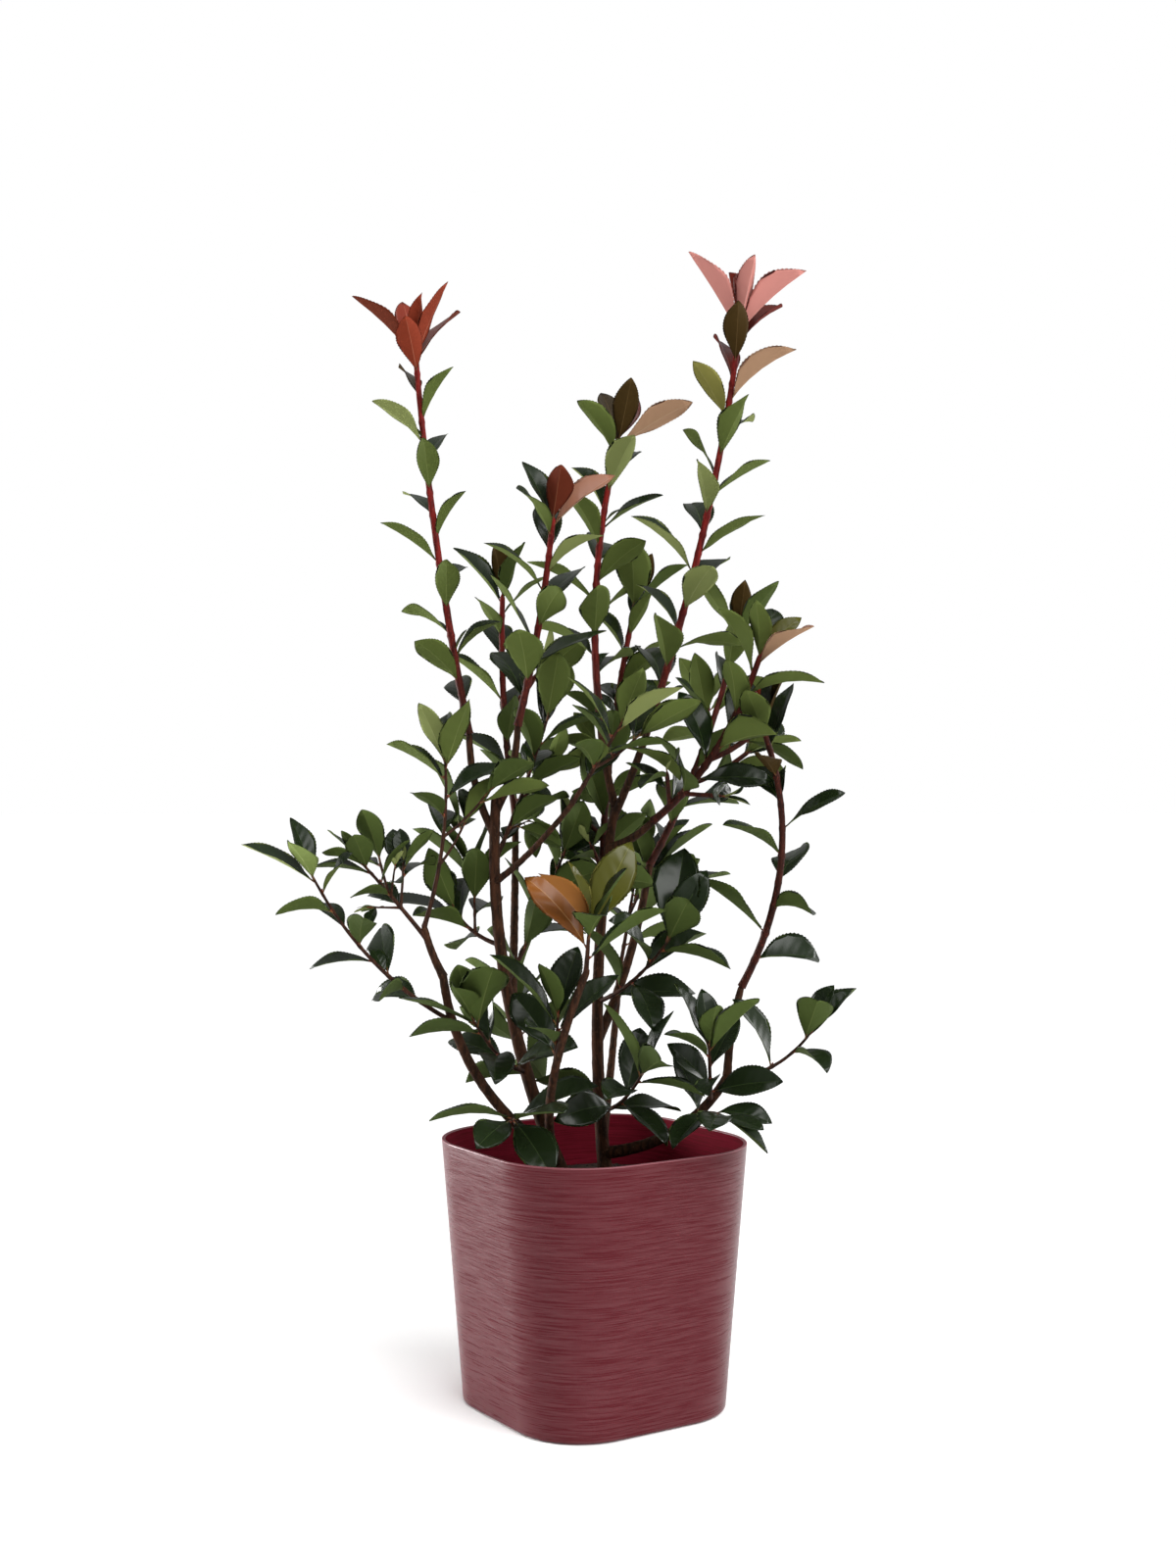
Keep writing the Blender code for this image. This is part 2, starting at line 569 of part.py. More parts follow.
def make_limbs(space):
    """Stems on the compost, then the boughs, each cut clear of what it leaves and its fellows."""
    paths = {}
    leaves_from = {}
    for name, (x, y), tip, bow, foot_radius, tip_radius in STEMS:
        path = Path((x, y, SOIL_LEVEL + GAP), tip, bow, foot_radius, tip_radius, FLARE)
        paths[name] = path
        leaves_from[name] = []
    for name, parent, at, tip, bow, foot_radius, tip_radius in BOUGHS:
        path = Path(paths[parent].point(at), tip, bow, foot_radius, tip_radius)
        leaves_from[name] = [parent] + [n for n, p in leaves_from.items() if p[:1] == [parent]]
        paths[name] = path
    for name, path in paths.items():
        body = put(name, tube(path, LIMB_SIDES), "old bark")
        if not leaves_from[name]:
            level_foot(body)
        cut_clear(body, [paths[n] for n in leaves_from[name]])
        solid = bmesh.new()
        solid.from_mesh(body.data)
        space.add(name, solid)
        solid.free()
    return paths


def level_foot(body):
    """Trims a stem's foot level, a hair above the compost that it stands on."""
    solid = bmesh.new()
    solid.from_mesh(body.data)
    for corner in solid.verts:
        if corner.co.z < SOIL_LEVEL + FLARE_TRIM:
            corner.co.z = SOIL_LEVEL + GAP
    solid.to_mesh(body.data)
    solid.free()


def main():
    clear_scene()
    space = Space()
    for thing in (make_pot(), make_compost()):
        solid = bmesh.new()
        solid.from_mesh(thing.data)
        space.add(thing.name, solid)
        solid.free()
    paths = make_limbs(space)
    masses = []
    for number, (name, parent, at, tip, bow, sizes) in enumerate(MASSES):
        limb = paths[parent]
        foot = limb.point(min(at, FORK_AT_MOST))
        masses.append((Mass(name, foot, tip, bow, sizes, number), limb))
    for mass, limb in masses:
        solid = tube(mass.stem, TWIG_SIDES)
        space.add(mass.name, solid)
        solid.free()
    for mass, limb in masses:
        mass.grow_twigs(space)
    for mass, limb in masses:
        mass.grow_leaves(space)
    for mass, limb in masses:
        mass.build(limb)


main()
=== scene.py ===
# Photinia red robin in its planter: the looks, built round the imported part.
# Metres, +Z up. The plant's front faces -Y.

import math
import random

import bmesh
import bpy
from mathutils import Matrix, Vector
from mathutils.bvhtree import BVHTree


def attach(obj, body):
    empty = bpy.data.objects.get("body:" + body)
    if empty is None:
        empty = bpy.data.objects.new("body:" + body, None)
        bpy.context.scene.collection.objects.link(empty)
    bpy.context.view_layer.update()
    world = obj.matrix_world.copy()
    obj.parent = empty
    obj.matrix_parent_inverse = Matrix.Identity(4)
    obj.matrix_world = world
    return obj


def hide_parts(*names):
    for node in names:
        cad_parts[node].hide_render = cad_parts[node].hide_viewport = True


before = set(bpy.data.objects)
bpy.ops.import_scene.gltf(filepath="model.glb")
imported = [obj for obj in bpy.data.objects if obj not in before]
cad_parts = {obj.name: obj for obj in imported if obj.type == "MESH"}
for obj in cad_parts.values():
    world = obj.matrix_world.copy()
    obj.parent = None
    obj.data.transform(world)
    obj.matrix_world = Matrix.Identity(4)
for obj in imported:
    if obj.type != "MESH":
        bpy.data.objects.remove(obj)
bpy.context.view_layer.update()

body = "root"
scene = bpy.context.scene


# Node trees, for materials and for geometry

def isVector(value):
    if isinstance(value, Wire):
        return value.socket.type == "VECTOR"
    return isinstance(value, Vector)


class Wire:
    # a socket that adds a maths node for each operator it meets
    def __init__(self, board, socket):
        self.board = board
        self.socket = socket

    def join(self, operation, first, second):
        vectors = isVector(first) + isVector(second)
        if not vectors:
            return self.board.add("ShaderNodeMath", {0: first, 1: second}, operation=operation)
        if vectors == 1 and operation == "MULTIPLY":
            vector, number = (first, second) if isVector(first) else (second, first)
            return self.board.add("ShaderNodeVectorMath", {0: vector, 1: number}, operation="SCALE")
        return self.board.add("ShaderNodeVectorMath", {0: first, 1: second}, operation=operation)

    def do(self, operation, other=None):
        # a named operation, such as SINE, ABSOLUTE or CROSS_PRODUCT
        kind = "ShaderNodeVectorMath" if isVector(self) else "ShaderNodeMath"
        return self.board.add(kind, {0: self} if other is None else {0: self, 1: other}, operation=operation)


def operator(operation, swapped):
    if swapped:
        return lambda self, other: self.join(operation, other, self)
    return lambda self, other: self.join(operation, self, other)


for word, operation in (
    ("add", "ADD"), ("sub", "SUBTRACT"), ("mul", "MULTIPLY"), ("truediv", "DIVIDE"), ("pow", "POWER"),
):
    setattr(Wire, "__" + word + "__", operator(operation, False))
    setattr(Wire, "__r" + word + "__", operator(operation, True))


class Board:
    # a node tree and what adds to it
    def __init__(self, tree):
        self.tree = tree

    def pick(self, sockets, key):
        shown = [s for s in sockets if s.enabled]
        return shown[key] if isinstance(key, int) else next(s for s in shown if s.name == key)

    def feed(self, socket, value):
        if isinstance(value, Wire):
            self.tree.links.new(value.socket, socket)
        else:
            socket.default_value = value

    def add(self, kind, inputs=None, out=0, **settings):
        node = self.tree.nodes.new(kind)
        for name, value in settings.items():
            setattr(node, name, value)
        for key, value in (inputs or {}).items():
            self.feed(self.pick(node.inputs, key), value)
        return Wire(self, self.pick(node.outputs, out))

    def part(self, vector, letter):
        return self.add("ShaderNodeSeparateXYZ", {"Vector": vector}, letter)

    def noise(self, vector, scale, detail=2.0, roughness=0.5):
        return self.add("ShaderNodeTexNoise",
                        {"Vector": vector, "Scale": scale, "Detail": detail, "Roughness": roughness})


ownShare = 0.74  # what a surface's own colour is of the one that shows in this light


def tint(red, green, blue, share=ownShare):
    # a colour as a screen shows it, 0 to 255, turned into the linear one that a shader takes
    def linear(value):
        part = value / 255
        return share * (part / 12.92 if part <= 0.04045 else ((part + 0.055) / 1.055) ** 2.4)
    return (linear(red), linear(green), linear(blue), 1.0)


class Finish(Board):
    # a material: a Principled shader fed by numbers, colours and wires
    def __init__(self, name, **sockets):
        self.material = bpy.data.materials.new(name)
        self.material.use_nodes = True
        super().__init__(self.material.node_tree)
        self.shader = self.tree.nodes["Principled BSDF"]
        self.set(**sockets)

    def set(self, **sockets):
        for name, value in sockets.items():
            words = "".join(" " + letter if letter.isupper() else letter for letter in name).strip()
            self.feed(self.shader.inputs["Specular IOR Level" if words == "Gloss" else words], value)

    def place(self):
        return self.add("ShaderNodeTexCoord", out="Object")

    def mapped(self, name):
        return self.add("ShaderNodeUVMap", uv_map=name)

    def ramp(self, value, low, high):
        # 0 under low, 1 over high, smooth between them
        return self.add("ShaderNodeMapRange", {"Value": value, "From Min": low, "From Max": high},
                        interpolation_type="SMOOTHSTEP")

    def blend(self, first, second, factor):
        return self.add("ShaderNodeMix", {"Factor": factor, "A": first, "B": second}, data_type="RGBA")

    def bump(self, height, strength, distance, under=None):
        inputs = {"Height": height, "Strength": strength, "Distance": distance}
        if under is not None:
            inputs["Normal"] = under
        return self.add("ShaderNodeBump", inputs)


class GeometryBoard(Board):
    # a geometry node group. Each input is a number, or the word Object or Material.
    def __init__(self, name, **inputs):
        tree = bpy.data.node_groups.new(name, "GeometryNodeTree")
        super().__init__(tree)
        for label, value in {"Geometry": "Geometry", **inputs}.items():
            kind = value if isinstance(value, str) else "Int" if isinstance(value, int) else "Float"
            socket = tree.interface.new_socket(label, in_out="INPUT", socket_type="NodeSocket" + kind)
            if kind != value:
                socket.default_value = value
        tree.interface.new_socket("Geometry", in_out="OUTPUT", socket_type="NodeSocketGeometry")
        self.entry = tree.nodes.new("NodeGroupInput")

    def given(self, label="Geometry"):
        return Wire(self, self.entry.outputs[label])

    def attribute(self, name, kind="FLOAT"):
        return self.add("GeometryNodeInputNamedAttribute", {"Name": name}, data_type=kind)

    def place(self):
        return self.add("GeometryNodeInputPosition")

    def copies(self, points, label, **inputs):
        # the object that is given, on every point, as real meshes
        shape = self.add("GeometryNodeObjectInfo", {"Object": self.given(label)}, "Geometry")
        copied = self.add("GeometryNodeInstanceOnPoints", {"Points": points, "Instance": shape, **inputs})
        return self.add("GeometryNodeRealizeInstances", {"Geometry": copied})

    def moved(self, geometry, **inputs):
        return self.add("GeometryNodeSetPosition", {"Geometry": geometry, **inputs})

    def smoothed(self, geometry):
        return self.add("GeometryNodeSetShadeSmooth", {"Geometry": geometry})

    def coated(self, geometry, label, **inputs):
        return self.add("GeometryNodeSetMaterial",
                        {"Geometry": geometry, "Material": self.given(label), **inputs})

    def finish(self, geometry):
        leave = self.tree.nodes.new("NodeGroupOutput")
        self.feed(leave.inputs[0], geometry)
        return self.tree


# what the points carry for the trees, and the finished meshes don't keep
carried = (
    "root", "along", "up", "length", "curl", "width", "number", "edge", "zone", "radius", "size", "folded",
)


def runTree(name, mesh, tree, values):
    # gives a mesh to a geometry tree and returns the plain mesh that comes out, as an object
    piece = placed(name, mesh)
    modifier = piece.modifiers.new(name, "NODES")
    modifier.node_group = tree
    for item in tree.interface.items_tree:
        if item.in_out == "INPUT" and item.name in values:
            modifier[item.identifier] = values[item.name]
    graph = bpy.context.evaluated_depsgraph_get()
    made = bpy.data.meshes.new_from_object(piece.evaluated_get(graph), preserve_all_data_layers=True,
                                           depsgraph=graph)
    piece.modifiers.clear()
    piece.data = made
    for attribute in list(made.attributes):
        if attribute.name in carried:
            made.attributes.remove(attribute)
    return piece


def pointMesh(name, places, attributes, edges=()):
    # loose points, or lines through them, that carry attributes for a geometry tree
    mesh = bpy.data.meshes.new(name)
    mesh.from_pydata(places, edges, [])
    for label, values in attributes.items():
        if isinstance(values[0], Vector):
            attribute = mesh.attributes.new(label, "FLOAT_VECTOR", "POINT")
            attribute.data.foreach_set("vector", [x for vector in values for x in vector])
        else:
            mesh.attributes.new(label, "FLOAT", "POINT").data.foreach_set("value", values)
    return mesh


def placed(name, content):
    made = bpy.data.objects.new(name, content)
    scene.collection.objects.link(made)
    return made


def linked(name, solid, *materials):
    mesh = bpy.data.meshes.new(name)
    solid.to_mesh(mesh)
    solid.free()
    for material in materials:
        mesh.materials.append(material)
    return placed(name, mesh)


def keep(piece, slot, *nodes):
    # a finished piece: it rides with the plant, and stands for the part's nodes
    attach(piece, body)
    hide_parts(*nodes)
    print(piece.name, sum(len(face.vertices) - 2 for face in piece.data.polygons), "triangles")


# The growth rule, as in the part's source: the same sizes, seeds and order, so that every
# leaf stands where the solids have it.

limbForm = {
    "soilLevel": 0.215, "gap": 0.0003, "run": 0.050, "flare": 0.0035, "flareHeight": 0.014,
    "twigSides": 3, "forkAtMost": 0.985,
}
stems = (
    ("stem_left", (-0.024, -0.002), (-0.099, 0.000, 0.619), (-0.026, 0.000, 0.000), 0.0072, 0.0052),
    ("stem_centre", (0.014, 0.010), (0.023, 0.030, 0.611), (-0.014, 0.004, 0.000), 0.0070, 0.0045),
)
boughs = (
    ("bough_left_tall", "stem_left", 0.90, (-0.128, 0.020, 0.683), (-0.006, 0, -0.004), 0.0036, 0.0029),
    ("bough_left_middle", "stem_left", 0.96, (-0.076, -0.030, 0.690), (0.005, -0.004, -0.004), 0.0036, 0.0029),
    ("bough_centre_tall", "stem_centre", 0.99, (0.005, 0.070, 0.721), (-0.003, 0.003, 0), 0.0036, 0.0028),
    ("bough_right_tall", "stem_centre", 0.96, (0.062, 0.020, 0.704), (0.002, -0.006, 0), 0.0036, 0.0030),
    ("bough_right_middle", "stem_centre", 0.88, (0.061, -0.012, 0.593), (0.002, -0.002, -0.003), 0.0038, 0.0030),
    ("bough_back_right", "stem_centre", 0.38, (0.061, 0.105, 0.546), (0.006, 0.014, -0.008), 0.0046, 0.0032),
    ("bough_back_left", "stem_left", 0.45, (-0.085, 0.150, 0.600), (0, 0.022, -0.012), 0.0042, 0.0029),
    ("bough_inner", "stem_left", 0.78, (-0.020, -0.070, 0.612), (-0.002, -0.008, -0.008), 0.0030, 0.0022),
    ("bough_right_low", "stem_centre", 0.09, (0.136, -0.030, 0.339), (0.012, 0, -0.016), 0.0054, 0.0038),
    ("bough_right_outer", "bough_right_low", 0.985, (0.151, -0.006, 0.425), (-0.003, 0, 0), 0.0036, 0.0030),
    ("bough_left_low", "stem_left", 0.09, (-0.149, -0.060, 0.442), (-0.022, -0.006, -0.010), 0.0050, 0.0036),
    ("bough_left_outer", "bough_left_low", 0.985, (-0.168, -0.062, 0.490), (-0.002, 0, 0), 0.0034, 0.0030),
    ("bough_front", "stem_left", 0.07, (-0.006, -0.150, 0.455), (-0.020, -0.024, -0.016), 0.0042, 0.0030),
    ("bough_back_low", "stem_centre", 0.12, (0.030, 0.165, 0.430), (0, 0.030, -0.020), 0.0042, 0.0028),
)
shootForm = {
    "leaf": 0.078, "spacing": 0.023, "bare": 0.016, "rosette": 4, "crown": 1.10, "twigs": 0,
    "twigLength": 0.070, "reach": 0.095, "lean": (48, 27), "flatten": 0.0,
}
shoots = (
    ("left_tall", "bough_left_tall", 1.0, (-0.186, 0.050, 1.082), (-0.006, 0, 0),
     {"leaf": 0.072, "spacing": 0.026, "lean": (42, 24), "rosette": 6, "crown": 1.36}),
    ("right_tall", "bough_right_tall", 1.0, (0.153, 0.040, 1.108), (0.010, 0, 0),
     {"leaf": 0.088, "spacing": 0.020, "lean": (46, 27), "rosette": 7}),
    ("centre_tall", "bough_centre_tall", 1.0, (0.028, 0.100, 1.000), (-0.012, 0, 0),
     {"leaf": 0.084, "spacing": 0.020}),
    ("left_middle", "bough_left_middle", 1.0, (-0.040, -0.060, 0.895), (0.004, 0, 0),
     {"leaf": 0.084, "spacing": 0.018, "crown": 0.95}),
    ("right_outer", "bough_right_outer", 1.0, (0.168, -0.045, 0.688), (0.030, 0, 0),
     {"leaf": 0.080, "spacing": 0.027, "lean": (62, 36), "rosette": 5, "crown": 0.9}),
    ("right_middle", "bough_right_middle", 1.0, (0.166, -0.060, 0.760), (0.008, -0.006, -0.014),
     {"leaf": 0.086, "spacing": 0.019, "rosette": 5, "crown": 0.9, "twigs": 1}),
    ("back_right", "bough_back_right", 1.0, (0.160, 0.160, 0.800), (0.008, 0.004, -0.008),
     {"twigs": 2}),
    ("right_side", "bough_right_low", 0.96, (0.212, -0.082, 0.386), (0.004, -0.004, -0.010),
     {"leaf": 0.070, "bare": 0.040, "flatten": 0.6, "lean": (58, 36), "rosette": 5}),
    ("right_base", "bough_right_low", 0.80, (0.112, -0.090, 0.380), (0, -0.010, -0.008),
     {"leaf": 0.072, "spacing": 0.013, "flatten": 0.3}),
    ("right_rim", "bough_right_low", 0.60, (0.126, -0.086, 0.306), (0, -0.006, 0.006),
     {"leaf": 0.068, "spacing": 0.016, "flatten": 0.7, "lean": (60, 40), "rosette": 3}),
    ("left_fork", "bough_left_outer", 0.97, (-0.148, -0.048, 0.655), (0.008, 0, 0),
     {"spacing": 0.020, "bare": 0.080, "twigs": 2, "flatten": 0.4, "lean": (60, 40), "reach": 0.105}),
    ("left_side", "bough_left_outer", 0.70, (-0.226, -0.090, 0.553), (-0.004, 0, 0.006),
     {"leaf": 0.060, "spacing": 0.017, "bare": 0.030, "flatten": 0.8, "lean": (58, 40),
      "twigs": 2, "twigLength": 0.05, "crown": 1.0}),
    ("left_far", "bough_left_low", 0.78, (-0.272, -0.118, 0.545), (-0.010, 0, -0.012),
     {"leaf": 0.072, "spacing": 0.022, "bare": 0.030, "flatten": 0.7, "lean": (58, 40)}),
    ("left_rim", "bough_left_low", 0.22, (-0.080, -0.100, 0.303), (0, -0.006, 0.004),
     {"leaf": 0.088, "spacing": 0.020, "flatten": 0.8, "lean": (60, 44), "rosette": 2}),
    ("front", "bough_front", 1.0, (-0.004, -0.168, 0.500), (0, 0, 0),
     {"leaf": 0.086, "spacing": 0.013, "bare": 0.008}),
    ("inner", "bough_inner", 1.0, (0.028, -0.086, 0.690), (0, -0.006, 0),
     {"spacing": 0.016, "flatten": 0.4, "lean": (56, 36), "twigs": 1}),
    ("inner_left", "stem_left", 0.62, (-0.146, 0.020, 0.505), (-0.004, 0.004, -0.006),
     {"spacing": 0.015, "flatten": 0.3, "twigs": 1}),
    ("inner_right", "stem_centre", 0.48, (0.078, -0.056, 0.480), (0, -0.004, -0.010),
     {"leaf": 0.090, "spacing": 0.016, "flatten": 0.4, "lean": (56, 36)}),
    ("middle", "stem_left", 0.52, (-0.030, 0.050, 0.560), (0, 0.008, -0.006),
     {"spacing": 0.018}),
    ("middle_left", "stem_left", 0.83, (-0.045, 0.035, 0.706), (0, 0.008, -0.006),
     {"spacing": 0.016, "flatten": 0.2, "twigs": 1}),
    ("base_left", "stem_left", 0.30, (-0.120, -0.070, 0.400), (0, -0.006, -0.010),
     {"leaf": 0.086, "spacing": 0.015, "flatten": 0.5, "lean": (60, 40)}),
    ("base_centre", "bough_front", 0.30, (-0.034, -0.130, 0.410), (0, -0.008, -0.006),
     {"leaf": 0.084, "spacing": 0.012, "flatten": 0.5, "lean": (60, 40)}),
    ("base_right", "stem_centre", 0.20, (0.050, -0.078, 0.350), (0, -0.006, -0.010),
     {"leaf": 0.081, "spacing": 0.014, "flatten": 0.5, "lean": (60, 40)}),
    ("back_left", "bough_back_left", 1.0, (-0.100, 0.170, 0.840), (-0.006, 0.006, 0),
     {"twigs": 1}),
    ("back_middle", "stem_centre", 0.72, (0.047, 0.150, 0.830), (-0.010, 0.020, -0.006),
     {"spacing": 0.019}),
    ("back_low", "bough_back_low", 1.0, (0.050, 0.205, 0.540), (0, 0.008, -0.004),
     {"leaf": 0.084, "flatten": 0.3, "twigs": 2}),
    ("back_base", "stem_left", 0.25, (-0.085, 0.130, 0.400), (0, 0.008, -0.012),
     {"leaf": 0.084, "spacing": 0.017, "flatten": 0.5, "lean": (60, 40)}),
)
rule = {
    "stemRadii": (0.0023, 0.0011), "twigRadius": 0.0014, "twigTaper": 0.7,
    "twigsFrom": 0.28, "twigsAlong": 0.34, "twigLean": 1.1, "twigRise": 0.25, "twigSag": 0.06,
    "twigFreeFrom": 0.2, "twigRosette": 3, "twigLengths": (0.85, 1.1),
    "leafWidth": 0.52, "stations": ((0.34, 0.84, 0.028), (0.69, 0.90, 0.014)),
    "fold": math.radians(20), "curl": math.radians(32), "clear": 0.0007, "freeFrom": 0.22,
    "sunk": 0.5, "arm": 0.9, "spiral": math.radians(137.5), "shrinks": (1.0, 0.82),
    "turns": tuple(math.radians(a) for a in (0, 24, -24, 48, -48, 76, -76)),
    "levelling": 0.7, "tipBare": 0.012, "shorter": 0.12, "rosetteDepth": 0.011,
    "rosetteLeans": (36, 6), "rosetteShorter": 0.45, "firstAngles": (0, 0.6),
    "angleSpread": (-0.2, 0.2), "leanSpread": (-0.12, 0.12), "leafLengths": (0.86, 1.10),
    "curls": (0.5, 1.4), "rosetteCurls": (0.2, 0.8), "spaceSteps": 12,
}


class Path:
    # a limb's centre line, from foot to tip, pushed sideways by its bow half-way along
    def __init__(self, foot, tip, bow, footRadius, tipRadius, flare=0.0):
        self.foot = Vector(foot)
        self.tip = Vector(tip)
        self.bow = Vector(bow)
        self.footRadius = footRadius
        self.tipRadius = tipRadius
        self.flare = flare
        self.length = (self.tip - self.foot).length
        self.runs = max(2, math.ceil(self.length / limbForm["run"]))

    def curve(self, t):
        return self.foot.lerp(self.tip, t) + self.bow * (4 * t * (1 - t))

    def point(self, t):
        # on the straight runs of the solids
        run = min(int(t * self.runs), self.runs - 1)
        ends = [self.curve(share) for share in (run / self.runs, (run + 1) / self.runs)]
        return ends[0].lerp(ends[1], t * self.runs - run)

    def direction(self, t):
        return (self.tip - self.foot + self.bow * (4 - 8 * t)).normalized()

    def radius(self, t):
        taper = self.footRadius + (self.tipRadius - self.footRadius) * t
        return taper + self.flare * math.exp(-t * self.length / limbForm["flareHeight"])

    def across(self, t, angle):
        chord = self.tip - self.foot
        axis = min(range(3), key=lambda i: abs(chord[i]))
        aside = Vector([float(i == axis) for i in range(3)])
        side = (aside - self.direction(t) * aside.dot(self.direction(t))).normalized()
        return Matrix.Rotation(angle, 3, self.direction(t)) @ side


def circle(radius, height, sides):
    # corners round the Z axis
    return [Vector((math.cos(math.tau * k / sides) * radius, math.sin(math.tau * k / sides) * radius, height))
            for k in range(sides)]


def loft(rings, end=None, start=None, split=True):
    # a closed solid through rings, with flat ends or points
    solid = bmesh.new()
    loops = [[solid.verts.new(corner) for corner in ring] for ring in rings]
    count = len(loops[0])
    for low, high in zip(loops, loops[1:]):
        for i in range(count):
            j = (i + 1) % count
            solid.faces.new((low[i], low[j], high[j], high[i]))
    for loop, point in ((loops[0][::-1], start), (loops[-1], end)):
        if point is None:
            solid.faces.new(loop)
            continue
        peak = solid.verts.new(point)
        for i in range(count):
            solid.faces.new((loop[i], loop[(i + 1) % count], peak))
    if split:
        bmesh.ops.triangulate(solid, faces=solid.faces[:])
    return solid


def tube(path, grow=0.0, start=0.0):
    sides = limbForm["twigSides"]
    rings = []
    for i in range(path.runs + 1):
        t = max(i / path.runs, start)
        middle = path.point(t) + path.direction(t) * grow * ((i == path.runs) - (i == 0))
        radius = path.radius(t) + grow / math.cos(math.pi / sides)
        rings.append([middle + path.across(t, math.tau * k / sides) * radius for k in range(sides)])
    return loft(rings)


def spine(leaf, s):
    # the leaf's middle line at a share of its length, and the direction its upper face looks
    root, along, up, length, curl = leaf
    bend = curl * s
    forward = length * math.sin(bend) / curl
    drop = length * (1 - math.cos(bend)) / curl
    return root + along * forward - up * drop, up * math.cos(bend) + along * math.sin(bend)


def plainLeaf(leaf, swell=0.0, start=None):
    # the part's own plain leaf, or with swell what it needs clear round it
    side = leaf[1].cross(leaf[2])
    length = leaf[3]
    rings = []
    for s, share, thickness in rule["stations"]:
        middle, raised = spine(leaf, s)
        half = share * rule["leafWidth"] * length / 2
        lift = raised * half * math.tan(rule["fold"])
        thick = raised * (thickness * length / 2)
        if swell:
            edge = raised * swell
            out = side * (half + swell)
            rings.append([middle - out + lift + edge, middle + thick + edge, middle + out + lift + edge,
                          middle + out + lift - edge, middle - thick - edge, middle - out + lift - edge])
        else:
            rings.append([middle - side * half + lift, middle + thick,
                          middle + side * half + lift, middle - thick])
    if start is None:
        return loft(rings, spine(leaf, 1.0)[0], spine(leaf, 0.0)[0])
    foot = spine(leaf, start)[0]
    rings.insert(0, [corner.lerp(foot, 1 - start / rule["stations"][0][0]) for corner in rings[0]])
    return loft(rings, spine(leaf, 1.0)[0])


class Space:
    # what stands in place so far
    def __init__(self):
        self.taken = []

    def reach(self, solid):
        corners = [corner.co for corner in solid.verts]
        return (Vector([min(c[i] for c in corners) for i in range(3)]),
                Vector([max(c[i] for c in corners) for i in range(3)]))

    def add(self, owner, solid):
        low, high = self.reach(solid)
        self.taken.append((owner, low, high, BVHTree.FromBMesh(solid)))
        solid.free()

    def addNode(self, name):
        solid = bmesh.new()
        solid.from_mesh(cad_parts[name].data)
        self.add(name, solid)

    def touches(self, owner, probe, ownProbe):
        low, high = self.reach(probe)
        whole = BVHTree.FromBMesh(probe)
        part = BVHTree.FromBMesh(ownProbe)
        probe.free()
        ownProbe.free()
        for other, otherLow, otherHigh, tree in self.taken:
            if any(low[i] > otherHigh[i] or high[i] < otherLow[i] for i in range(3)):
                continue
            if (part if other == owner else whole).overlap(tree):
                return True
        return False


